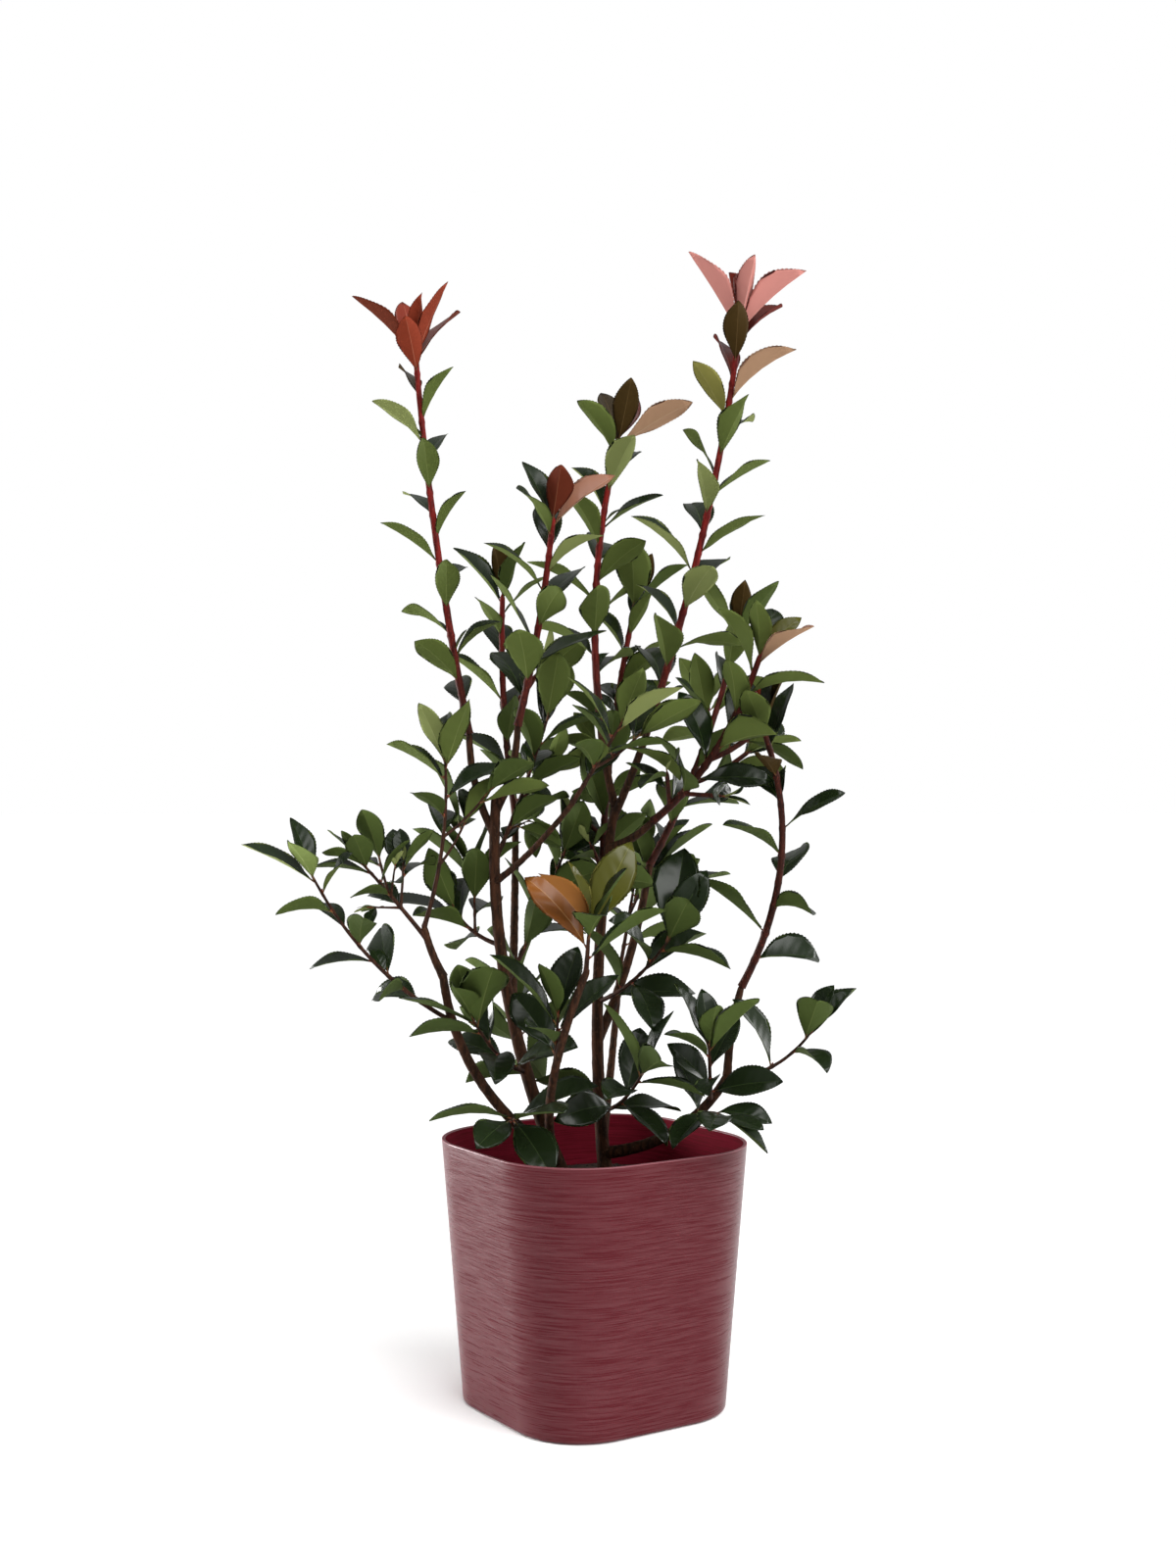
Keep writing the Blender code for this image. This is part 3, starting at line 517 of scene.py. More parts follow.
class Shoot:
    # one mass of foliage: a stem, its twigs and its leaves
    def __init__(self, name, foot, tip, bow, sizes, number):
        self.name = name
        self.sizes = {**shootForm, **sizes}
        self.stem = Path(foot, tip, bow, *rule["stemRadii"])
        self.twigs = []
        self.leaves = []
        self.random = random.Random(100 + number)

    def axes(self):
        return [self.stem, *self.twigs]

    def inside(self, spot):
        steps = [self.stem.point(i / rule["spaceSteps"]) for i in range(rule["spaceSteps"] + 1)]
        return min((spot - step).length for step in steps) <= self.sizes["reach"]

    def addTwig(self, space, axis, at, angle, length, rise, sag, radius):
        # a twig that is turned until it has room, or none
        foot = axis.point(at)
        for turn in rule["turns"]:
            out = axis.across(at, angle + turn)
            heading = axis.direction(at) + out * rule["twigLean"] + Vector((0, 0, rise))
            twig = Path(foot, foot + heading.normalized() * length, (0, 0, -sag * length),
                        radius, radius * rule["twigTaper"])
            blocked = space.touches(self.name, tube(twig, rule["clear"]),
                                    tube(twig, rule["clear"], rule["twigFreeFrom"]))
            if not blocked and self.inside(twig.tip):
                self.twigs.append(twig)
                space.add(self.name, tube(twig))
                return twig
        return None

    def growTwigs(self, space):
        wanted = self.sizes["twigs"]
        for k in range(wanted):
            along = rule["twigsFrom"] + rule["twigsAlong"] * (k + 0.5) / wanted
            angle = self.random.uniform(0, math.tau)
            length = self.sizes["twigLength"] * self.random.uniform(*rule["twigLengths"])
            self.addTwig(space, self.stem, along, angle, length,
                         rule["twigRise"], rule["twigSag"], rule["twigRadius"])

    def leafAt(self, axis, t, angle, lean, length, curl):
        heading = axis.direction(t)
        out = axis.across(t, angle)
        flatten = self.sizes["flatten"]
        out.z *= 1 - rule["levelling"] * flatten
        out.normalize()
        along = (heading * math.cos(lean) + out * math.sin(lean)).normalized()
        up = heading.lerp(Vector((0, 0, 1)), flatten)
        up = (up - along * up.dot(along)).normalized()
        return (axis.point(t) - along * axis.radius(t) * rule["sunk"], along, up, length, curl)

    def tryLeaf(self, space, axis, t, angle, lean, length, curl, **facts):
        for shrink in rule["shrinks"]:
            for turn in rule["turns"]:
                leaf = self.leafAt(axis, t, angle + turn, lean, length * shrink, curl)
                if not self.inside(leaf[0] + leaf[1] * leaf[3] * rule["arm"]):
                    continue
                if not space.touches(self.name, plainLeaf(leaf, rule["clear"]),
                                     plainLeaf(leaf, rule["clear"], rule["freeFrom"])):
                    self.leaves.append({"leaf": leaf, "axis": axis, "t": t, "angle": angle + turn, **facts})
                    space.add(self.name, plainLeaf(leaf))
                    return

    def growLeaves(self, space):
        for number, axis in enumerate(self.axes()):
            bare = self.sizes["bare"]
            rosette = self.sizes["rosette"] if number == 0 else rule["twigRosette"]
            angle = self.random.uniform(*rule["firstAngles"]) + number
            run = axis.length - bare - rule["tipBare"]
            count = max(1, round(run / self.sizes["spacing"]))
            for i in range(count):
                t = (bare + run * (i + 0.5) / count) / axis.length
                share = i / count
                low, high = self.sizes["lean"]
                lean = math.radians(low + (high - low) * share) + self.random.uniform(*rule["leanSpread"])
                length = self.sizes["leaf"] * self.random.uniform(*rule["leafLengths"])
                length *= 1 - rule["shorter"] * share
                curl = rule["curl"] * self.random.uniform(*rule["curls"])
                self.tryLeaf(space, axis, t, angle, lean, length, curl,
                             group="side", rank=count - 1 - i, branch=number)
                angle += rule["spiral"] + self.random.uniform(*rule["angleSpread"])
            for i in range(rosette):
                share = i / rosette
                t = 1 - rule["rosetteDepth"] * (1 - share) / axis.length
                low, high = rule["rosetteLeans"]
                lean = math.radians(low + (high - low) * share)
                length = self.sizes["leaf"] * self.sizes["crown"] * (1 - rule["rosetteShorter"] * share)
                curl = rule["curl"] * self.random.uniform(*rule["rosetteCurls"])
                self.tryLeaf(space, axis, t, angle, lean, length, curl,
                             group="rosette", rank=i, branch=number)
                angle += rule["spiral"] + self.random.uniform(*rule["angleSpread"])


# What grows finer here than in the solids: short spurs with leaves of their own along the
# middle of the plant, small leaves in the axils of older ones, and narrow unfolding leaves at
# every tip.
fineGrowth = {
    "finerFrom": 0.42, "axilShare": 0.10, "axilLengths": (0.34, 0.52), "axilLean": 0.6, "axilRaise": 0.004,
    "tipLeaves": 3, "tipLengths": (0.26, 0.44), "tipLeans": (16, 3), "tipAt": 0.995, "axilUpTo": 0.98,
    "spursUpTo": 0.80, "spurShare": 0.15, "spurLengths": (0.026, 0.044), "spurRadius": 0.0011,
    "spurAside": math.pi / 2, "spurPlaces": (0.45, 0.86), "spurLeafLengths": (0.44, 0.66), "spurLean": 0.95,
}


def olderLeaves(shoot):
    return [entry for entry in shoot.leaves if entry["group"] == "side" and entry["rank"] > 1]


def growSpurs(shoot, space, chance):
    low, high = fineGrowth["finerFrom"], fineGrowth["spursUpTo"]
    for entry in olderLeaves(shoot):
        if chance.random() >= fineGrowth["spurShare"] or not low < entry["leaf"][0].z < high:
            continue
        spur = shoot.addTwig(space, entry["axis"], entry["t"], entry["angle"] + fineGrowth["spurAside"],
                             chance.uniform(*fineGrowth["spurLengths"]), 0, 0, fineGrowth["spurRadius"])
        if spur is None:
            continue
        angle = chance.uniform(0, math.tau)
        for i, place in enumerate(fineGrowth["spurPlaces"]):
            length = shoot.sizes["leaf"] * chance.uniform(*fineGrowth["spurLeafLengths"])
            curl = rule["curl"] * chance.uniform(*rule["curls"])
            shoot.tryLeaf(space, spur, place, angle, fineGrowth["spurLean"], length, curl,
                          group="spur", rank=i, branch=len(shoot.twigs))
            angle += rule["spiral"]


def growFiner(shoot, space, seed):
    chance = random.Random(seed)
    growSpurs(shoot, space, chance)
    for entry in olderLeaves(shoot):
        if chance.random() > fineGrowth["axilShare"] or entry["leaf"][0].z < fineGrowth["finerFrom"]:
            continue
        axis = entry["axis"]
        t = min(fineGrowth["axilUpTo"], entry["t"] + fineGrowth["axilRaise"] / axis.length)
        lean = fineGrowth["axilLean"] * entry["leaf"][1].angle(axis.direction(t))
        length = shoot.sizes["leaf"] * chance.uniform(*fineGrowth["axilLengths"])
        curl = rule["curl"] * chance.uniform(*rule["curls"])
        shoot.tryLeaf(space, axis, t, entry["angle"], lean, length, curl,
                      group="axil", rank=entry["rank"], branch=entry["branch"])
    for number, axis in enumerate(shoot.axes()):
        angle = chance.uniform(0, math.tau)
        for i in range(fineGrowth["tipLeaves"]):
            share = i / fineGrowth["tipLeaves"]
            low, high = fineGrowth["tipLeans"]
            length = shoot.sizes["leaf"] * chance.uniform(*fineGrowth["tipLengths"])
            curl = rule["curl"] * chance.uniform(*rule["rosetteCurls"])
            lean = math.radians(low + (high - low) * share)
            shoot.tryLeaf(space, axis, fineGrowth["tipAt"], angle, lean, length, curl,
                          group="tip", rank=i, branch=number)
            angle += rule["spiral"]


def growPlant():
    space = Space()
    for name in ("pot", "compost", *[s[0] for s in stems], *[b[0] for b in boughs]):
        space.addNode(name)
    limbs = {}
    for name, (x, y), tip, bow, footRadius, tipRadius in stems:
        foot = (x, y, limbForm["soilLevel"] + limbForm["gap"])
        limbs[name] = Path(foot, tip, bow, footRadius, tipRadius, limbForm["flare"])
    for name, parent, at, tip, bow, footRadius, tipRadius in boughs:
        limbs[name] = Path(limbs[parent].point(at), tip, bow, footRadius, tipRadius)
    grown = []
    for number, (name, parent, at, tip, bow, sizes) in enumerate(shoots):
        foot = limbs[parent].point(min(at, limbForm["forkAtMost"]))
        grown.append(Shoot("foliage_" + name, foot, tip, bow, sizes, number))
    for shoot in grown:
        space.add(shoot.name, tube(shoot.stem))
    for shoot in grown:
        shoot.growTwigs(space)
    for shoot in grown:
        shoot.growLeaves(space)
    print("leaves of the solids:", sum(len(shoot.leaves) for shoot in grown))
    for number, shoot in enumerate(grown):
        growFiner(shoot, space, 500 + number)
    print("leaves in all:", sum(len(shoot.leaves) for shoot in grown))
    print("spurs:", sum(len(shoot.twigs) - shoot.sizes["twigs"] for shoot in grown))
    return limbs, grown


limbs, grown = growPlant()


# Leaves

leafBlade = {
    "stalk": 0.09,        # share of the leaf's length that is stalk
    "halfWidth": 0.212,   # widest, as a share of the leaf's length
    "widestAt": 0.53, "baseFullness": 0.94, "tipFullness": 0.86, "point": 0.40,
    "segments": 6, "teeth": 4, "toothDepth": 0.010, "toothPeak": 0.70, "toothFade": 6,
    "innerShare": 0.84, "innerLevel": 0.7, "ribWidth": 0.0080, "ribTaper": 0.75, "leastHalf": 1.6,
    "thickness": 0.0080, "keel": 1.9, "endBias": 0.05,
}


def bladeHalf(b):
    # half-width of the blade at a share of its own length: round, with a short point at its tip
    form = leafBlade
    power = math.log(0.5) / math.log(form["widestAt"])
    fullness = form["baseFullness" if b < form["widestAt"] else "tipFullness"]
    full = form["halfWidth"] * max(0.0, math.sin(math.pi * b ** power)) ** fullness
    return max(full, form["point"] * (1 - b)) if b > form["widestAt"] else full


def makeLeafBlade():
    # one flat leaf of unit length along +Y with a saw-toothed margin. Zone 0 is its upper face,
    # 1 the rib on it, 2 its underside and 3 the rib there. Edge runs from 0 at the rib to 1 at
    # the margin. A face and the one under it start at the same corner, so they split alike.
    form = leafBlade
    solid = bmesh.new()
    edge = solid.verts.layers.float.new("edge")
    zone = solid.faces.layers.int.new("zone")
    uv = solid.loops.layers.uv.new("leafMap")

    def corner(x, b, level, share):
        spot = solid.verts.new((x, form["stalk"] + (1 - form["stalk"]) * b, level * form["thickness"] / 2))
        spot[edge] = share
        return spot

    def face(corners, kind, flip):
        # leaves out the corners that meet in the tip
        corners = list(dict.fromkeys(corners))
        made = solid.faces.new([corners[0], *corners[:0:-1]] if flip else corners)
        made[zone] = kind
        made.smooth = True

    def row(k):
        b = k / form["segments"] - form["endBias"] * math.sin(math.tau * k / form["segments"])
        half = max(bladeHalf(b), form["ribWidth"] * form["leastHalf"])
        rib = form["ribWidth"] * (1 - form["ribTaper"] * b)
        inner = rib + (half - rib) * form["innerShare"]
        corners = {"b": b}
        for side in (-1, 1):
            corners[side] = {
                "rib": corner(side * rib, b, 1, 0),
                "inner": corner(side * inner, b, form["innerLevel"], form["innerShare"]),
                "lowRib": corner(side * rib, b, -form["keel"], 0),
                "lowInner": corner(side * inner, b, -form["innerLevel"], form["innerShare"]),
                "margin": corner(side * half, b, 0, 1),
            }
        return corners

    rows = [row(k) for k in range(form["segments"])]
    tip = dict.fromkeys(rows[0][1], corner(0, 1.0, 0, 0))
    for low, high in zip(rows, [*rows[1:], {"b": 1.0, -1: tip, 1: tip}]):
        for rib, kind, flip in (("rib", 1, False), ("lowRib", 3, True)):
            face([low[-1][rib], low[1][rib], high[1][rib], high[-1][rib]], kind, flip)
        for side in (-1, 1):
            here, there = low[side], high[side]
            teeth = []
            for tooth in range(form["teeth"]):
                for along, out in ((form["toothPeak"], form["toothDepth"]), (1.0, 0.0)):
                    u = (tooth + along) / form["teeth"]
                    b = low["b"] + (high["b"] - low["b"]) * u
                    if u < 1:
                        out *= min(1.0, form["toothFade"] * (1 - b))
                        teeth.append(corner(side * (bladeHalf(b) + out), b, 0, 1))
            for rib, inner, kind, flip in (("rib", "inner", 0, side < 0), ("lowRib", "lowInner", 2, side > 0)):
                face([here[rib], here[inner], there[inner], there[rib]], kind, flip)
                face([here[inner], here["margin"], *teeth, there["margin"], there[inner]], kind, flip)
    left, right = rows[0][-1], rows[0][1]
    face([left["margin"], left["inner"], left["rib"], right["rib"], right["inner"], right["margin"],
          right["lowInner"], right["lowRib"], left["lowRib"], left["lowInner"]], 2, True)
    for polygon in solid.faces:
        for loop in polygon.loops:
            loop[uv].uv = (0.5 + loop.vert.co.x, loop.vert.co.y)
    return linked("leafBlade", solid)


leafBend = {
    "Fold": math.radians(22), "Fold Spread": math.radians(24), "Arch": 0.010, "Wave": 0.009,
    "Wave Count": 2.1, "Wave Shift": 0.7, "Twist": math.radians(100), "Seed": 4,
}
leafZones = ("Top", "Rib", "Under", "Keel")


def makeLeafTree():
    # sets the blade on every point, then bends it along the arc that the point's attributes give
    board = GeometryBoard("setLeaves", Blade="Object", **leafBend, **dict.fromkeys(leafZones, "Material"))
    given = board.given
    leaves = board.copies(given(), "Blade")
    root, along, up = [board.attribute(name, "FLOAT_VECTOR") for name in ("root", "along", "up")]
    length, curl, number, edge = [board.attribute(name) for name in ("length", "curl", "number", "edge")]
    flat = board.place() - root
    x = board.part(flat, "X") * board.attribute("width")
    y = board.part(flat, "Y")

    def chance(salt):
        # a fixed random number from -0.5 to 0.5 for each leaf
        return board.add("FunctionNodeRandomValue",
                         {0: -0.5, 1: 0.5, "ID": number, "Seed": given("Seed") + salt})

    fold = given("Fold") + given("Fold Spread") * chance(1) + board.attribute("folded")
    twist = given("Twist") * chance(2) * y
    phase = chance(3) * math.tau + x.do("SIGN") * given("Wave Shift")
    side = along.do("CROSS_PRODUCT", up)
    bend = curl * y
    bendSine, bendCosine = bend.do("SINE"), bend.do("COSINE")
    middle = root + along * (length * bendSine / curl) - up * (length * (1 - bendCosine) / curl)
    raised = up * bendCosine + along * bendSine
    twistSine, twistCosine = twist.do("SINE"), twist.do("COSINE")
    sideways = side * twistCosine + raised * twistSine
    upwards = raised * twistCosine - side * twistSine
    shape = x.do("ABSOLUTE") * fold.do("TANGENT")
    shape = shape + given("Arch") * 4 * edge * (1 - edge)
    shape = shape + given("Wave") * edge * (y * given("Wave Count") * math.tau + phase).do("SINE")
    shape = shape + board.part(flat, "Z")
    leaves = board.moved(leaves, Position=middle + sideways * (x * length) + upwards * (shape * length))
    zone = board.attribute("zone", "INT")
    for code, label in enumerate(leafZones):
        chosen = board.add("FunctionNodeCompare", {"A": zone, "B": code}, data_type="INT", operation="EQUAL")
        leaves = board.coated(leaves, label, Selection=chosen)
    return board.finish(leaves)


# Each kind of leaf: its upper face, the rib there, its underside and the rib there. The first two kinds are greens
# whose undersides are painted darker, as painted shade for the low and middle crown.
leafKinds = {
    "shade": ((30, 42, 21), (52, 66, 36), (76, 90, 48), (96, 106, 62)),
    "deep": ((25, 38, 16), (50, 66, 32), (82, 97, 48), (104, 116, 64)),
    "green": ((24, 37, 15), (52, 68, 34), (103, 117, 59), (124, 136, 76)),
    "fresh": ((28, 43, 18), (66, 84, 40), (146, 156, 94), (162, 170, 110)),
    "lime": ((62, 86, 30), (96, 114, 54), (138, 156, 86), (156, 170, 104)),
    "olive": ((84, 84, 26), (114, 114, 50), (142, 138, 72), (160, 154, 92)),
    "orange": ((142, 84, 30), (176, 124, 66), (166, 108, 54), (190, 138, 86)),
    "bronze": ((98, 40, 26), (142, 84, 60), (118, 54, 36), (152, 92, 66)),
    "rust": ((132, 48, 30), (168, 92, 68), (148, 63, 42), (182, 106, 82)),
    "wine": ((88, 30, 20), (124, 66, 50), (114, 38, 26), (146, 72, 56)),
    "rose": ((112, 34, 26), (150, 70, 60), (230, 154, 144), (238, 182, 170)),
    "blush": ((164, 112, 88), (190, 148, 118), (192, 152, 120), (206, 172, 140)),
    "umber": ((52, 40, 18), (86, 68, 40), (76, 58, 28), (104, 82, 50)),
}
leafSkin = {
    "topRoughness": 0.26, "underRoughness": 0.75, "topGloss": 0.28, "underGloss": 0.04, "relief": 0.5,
    "veins": 7.0, "veinSlope": 0.85, "veinFade": (0.22, 0.02), "veinDepth": 0.00030,
    "grain": 240.0, "grainDepth": 0.00004,
}
# Kinds for the leaves that stand out, by shoot: those of the tip's rosette from the outermost
# in, the leaves below it from the top down, and the small ones at the tip.
accents = {
    "foliage_left_tall": ("bronze bronze rust rust rust rust", "rust umber green", "rust"),
    "foliage_right_tall": ("rose rose wine rose wine rose blush", "wine umber wine blush olive", "rose"),
    "foliage_centre_tall": ("blush umber umber wine", "green deep", "rust"),
    "foliage_left_middle": ("blush green bronze umber", "green deep", "bronze"),
    "foliage_right_outer": ("green umber green rust rust", "green umber", "rust"),
    "foliage_right_middle": ("blush green green olive orange", "green", "orange"),
    "foliage_front": ("olive orange deep olive", "deep orange", "orange"),
    "foliage_inner": ("fresh green green lime", "green", "lime"),
    "foliage_left_fork": ("green green fresh lime", "green", "lime"),
    "foliage_left_far": ("fresh lime green", "green", "fresh"),
    "foliage_back_left": ("green deep green umber", "green green", "umber"),
    "foliage_back_middle": ("green deep green umber", "green", "umber"),
    "foliage_back_right": ("green deep green umber", "green", "umber"),
}
# The other leaves go by their height: each kind up to its limit, then fresh and green mixed. So the undersides get
# paler with height: partly the real change from older to younger leaves, partly painted shade low down and painted
# light high up.
kindForm = {
    "limits": ((0.46, "shade"), (0.68, "deep"), (0.82, "green")), "freshShare": 0.62,
    "spread": (-0.05, 0.05), "raised": {"axil": 0.14, "rosette": 0.10},
}


def kindOf(shoot, entry, chance):
    rosette, below, small = accents.get(shoot.name, ("", "", "fresh"))
    group, rank, onStem = entry["group"], entry["rank"], entry["branch"] == 0
    if group == "tip":
        return small if onStem else "fresh"
    listed = {"rosette": rosette, "side": below}.get(group, "").split()
    if onStem and rank < len(listed):
        return listed[rank]
    # the lower the leaf, the darker its kind's underside: painted shade
    height = entry["leaf"][0].z + chance.uniform(*kindForm["spread"]) + kindForm["raised"].get(group, 0.0)
    for limit, kind in kindForm["limits"]:
        if height < limit:
            return kind
    return "fresh" if chance.random() < kindForm["freshShare"] else "green"


def makeLeafFinish(name, colour, face):
    # a plain colour, since each kind has its place on the plant, with veins and a fine grain
    form = leafSkin
    finish = Finish(name, BaseColor=tint(*colour), Roughness=form[face + "Roughness"], Gloss=form[face + "Gloss"])
    place = finish.mapped("leafMap")
    across = (finish.part(place, "X") - 0.5).do("ABSOLUTE")
    slant = finish.part(place, "Y") - across * form["veinSlope"]
    vein = (slant * (form["veins"] * math.tau)).do("SINE") * 0.5 + 0.5
    vein = vein * finish.ramp(across, *form["veinFade"])
    normal = finish.bump(1 - vein if face == "under" else vein, form["relief"], form["veinDepth"])
    if face == "top":
        grain = finish.noise(finish.place(), form["grain"])
        normal = finish.bump(grain, form["relief"], form["grainDepth"], normal)
    finish.set(Normal=normal)
    return finish.material


# The leaves get narrower with height. Those at the tips that are still unfolding are narrow,
# and folded along their middle.
leafSizes = {
    "stretch": 1.04, "heights": (0.45, 0.85), "low": 1.06, "high": 0.93, "spread": (0.90, 1.10),
    "tip": 0.62, "unfolding": 0.60, "folded": math.radians(32), "chanceSeed": 7,
}
unfolding = ("foliage_right_tall",)


def makeLeaves():
    blade = makeLeafBlade()
    tree = makeLeafTree()
    form = leafSizes
    low, high = form["heights"]
    chance = random.Random(form["chanceSeed"])
    sets = {kind: [] for kind in leafKinds}
    for shoot in grown:
        for entry in shoot.leaves:
            kind = kindOf(shoot, entry, chance)
            root, along, up, length, curl = entry["leaf"]
            root = root + entry["axis"].curve(entry["t"]) - entry["axis"].point(entry["t"])
            share = min(1.0, max(0.0, (root.z - low) / (high - low)))
            width = form["low"] + (form["high"] - form["low"]) * share
            width *= chance.uniform(*form["spread"])
            if entry["group"] == "tip":
                width *= form["tip"]
            folded = 0.0
            if shoot.name in unfolding and entry["branch"] == 0 and entry["group"] == "rosette":
                width *= form["unfolding"]
                folded = form["folded"]
            sets[kind].append((shoot.name, root, along, up, length * form["stretch"], curl, width, folded))
    total = 0
    for kind, leaves in sets.items():
        if not leaves:
            continue
        names, *columns = zip(*leaves)
        facts = dict(zip(("root", "along", "up", "length", "curl", "width", "folded"), columns))
        facts["number"] = [float(total + i) for i in range(len(leaves))]
        total += len(leaves)
        skins = {zone: makeLeafFinish(kind + zone, colour, "under" if zone in ("Under", "Keel") else "top")
                 for zone, colour in zip(leafZones, leafKinds[kind])}
        points = pointMesh(kind + "Points", columns[0], facts)
        piece = runTree("leaves" + kind.capitalize(), points, tree, {"Blade": blade, **skins})
        keep(piece, "foliage", *dict.fromkeys(names))
    bpy.data.objects.remove(blade)
    print("leaves set:", total)


# Wood: stems, boughs, shoots, twigs and leaf stalks. A limb is drawn girth times as thick as
# the solid, with extra metres added, and upper metres more at its tip.

barkForm = {
    "step": 0.003, "sides": 16, "girth": 1.0, "extra": 0.0, "upper": 0.0, "collar": 0.0009,
    "collarLength": 0.008, "endLength": 0.009, "endShare": 0.62, "relief": 0.0007, "grain": 330.0,
}
boughForm = {**barkForm, "girth": 1.18}
shootBark = {
    "step": 0.004, "sides": 10, "girth": 1.04, "extra": 0.0001, "upper": 0.0, "collar": 0.0006,
    "collarLength": 0.005, "node": 0.22, "nodeLength": 0.0016, "endLength": 0.006, "endShare": 0.45,
    "relief": 0.00022, "grain": 500.0,
}
redShootBark = {**shootBark, "girth": 1.40, "extra": 0.0008, "upper": 0.0005}
redShoots = (
    "foliage_left_tall", "foliage_right_tall", "foliage_centre_tall", "foliage_left_middle",
    "foliage_right_outer", "foliage_right_middle", "foliage_back_right", "foliage_back_left",
    "foliage_back_middle",
)
# A stalk is thinner under a leaf that is shorter than fullLength.
stalkForm = {
    "sides": 6, "radii": (0.00105, 0.00062), "shares": (0.0, 0.05, 0.10, 0.15), "fullLength": 0.07,
    "thinnest": 0.45, "relief": 0.00006, "grain": 600.0,
}
# name: dark and pale streaks, specks, roughness, and the colour further down
barks = {
    "oldBark": ((42, 27, 18), (78, 49, 34), (108, 80, 60), 0.84),
    "redBark": ((90, 18, 16), (142, 34, 28), (150, 66, 50), 0.55, (76, 34, 24)),
    "brownBark": ((42, 25, 18), (74, 44, 31), (108, 78, 56), 0.68),
    "stalkSkin": ((104, 52, 40), (124, 92, 54), (138, 112, 70), 0.50),
    "budSkin": ((120, 48, 40), (150, 70, 50), (170, 100, 72), 0.4),
}
# Streaks and specks: the shape, then scale, detail and roughness of their noise.
barkSkin = {
    "gloss": 0.12, "streakShape": Vector((1, 1, 0.18)), "streaks": (260, 4, 0.6), "streakEnds": (0.34, 0.66),
    "speckShape": Vector((1, 1, 0.6)), "specks": (520, 1), "speckEnds": (0.63, 0.70), "speckShare": 0.4,
    "lowerDark": 0.62, "lowerHeights": (0.66, 0.88), "roughEnds": (0.3, 0.7), "roughened": 0.12,
    "relief": 0.5, "depth": 0.0005,
}


def barkFinish(name):
    # streaks along the wood, pale specks, and a fine bump. Red wood turns brown further down.
    form = barkSkin
    low, high, speck, roughness, *lower = barks[name]
    finish = Finish(name, Gloss=form["gloss"])
    place = finish.place()
    streaks = finish.noise(place * form["streakShape"], *form["streaks"])
    specks = finish.noise(place * form["speckShape"], *form["specks"])
    pale = finish.ramp(streaks, *form["streakEnds"])
    colour = finish.blend(tint(*low), tint(*high), pale)
    for brown in lower:
        dark = finish.blend(tint(*[part * form["lowerDark"] for part in brown]), tint(*brown), pale)
        colour = finish.blend(dark, colour, finish.ramp(finish.part(place, "Z"), *form["lowerHeights"]))
    colour = finish.blend(colour, tint(*speck), finish.ramp(specks, *form["speckEnds"]) * form["speckShare"])
    rough = finish.ramp(streaks, *form["roughEnds"]) * form["roughened"]
    finish.set(BaseColor=colour, Roughness=roughness + rough,
               Normal=finish.bump(streaks + specks * 0.5, form["relief"], form["depth"]))
    return finish.material


def makeWoodTree():
    # a round skin along every line, with the line's own radius and a grain that stands out
    board = GeometryBoard("wrapWood", Sides=barkForm["sides"], Relief=barkForm["relief"],
                          Grain=barkForm["grain"], Bark="Material")
    lines = board.add("GeometryNodeMeshToCurve", {"Mesh": board.given()})
    ring = board.add("GeometryNodeCurvePrimitiveCircle", {"Resolution": board.given("Sides"), "Radius": 1.0})
    skin = board.add("GeometryNodeCurveToMesh", {"Curve": lines, "Profile Curve": ring,
                                                 "Scale": board.attribute("radius"), "Fill Caps": True})
    longer = board.place() * Vector((1.0, 1.0, 0.35))
    grain = (board.noise(longer, board.given("Grain")) - 0.5) * board.given("Relief") * 2
    skin = board.moved(skin, Offset=board.add("GeometryNodeInputNormal") * grain)
    return board.finish(board.coated(board.smoothed(skin), "Bark"))


def limbLine(path, form, nodes=()):
    # places and radii along a limb: a collar at its foot, swellings at its leaves, a rounded end
    count = max(3, math.ceil(path.length / form["step"]))
    places, radii = [], []
    for i in range(count + 1):
        t = i / count
        s = t * path.length
        radius = path.radius(t) * form["girth"] + form["extra"] + form["upper"] * t
        radius += form["collar"] * math.exp(-s / form["collarLength"])
        for node in nodes:
            radius *= 1 + form["node"] * math.exp(-((s - node * path.length) / form["nodeLength"]) ** 2)
        left = (path.length - s) / form["endLength"]
        if left < 1:
            radius *= form["endShare"] + (1 - form["endShare"]) * math.sqrt(max(0.0, 1 - (1 - left) ** 2))
        places.append(path.curve(t))
        radii.append(radius)
    return places, radii


def stalkLine(entry):
    # places and radii along the foot of a leaf, shifted from the solid's run to the drawn curve
    form = stalkForm
    shift = entry["axis"].curve(entry["t"]) - entry["axis"].point(entry["t"])
    scale = min(1.0, entry["leaf"][3] / form["fullLength"])
    low, high = form["radii"]
    last = len(form["shares"]) - 1
    places = [spine(entry["leaf"], s)[0] + shift for s in form["shares"]]
    radii = [(low + (high - low) * i / last) * (form["thinnest"] + (1 - form["thinnest"]) * scale)
             for i in range(last + 1)]
    return places, radii


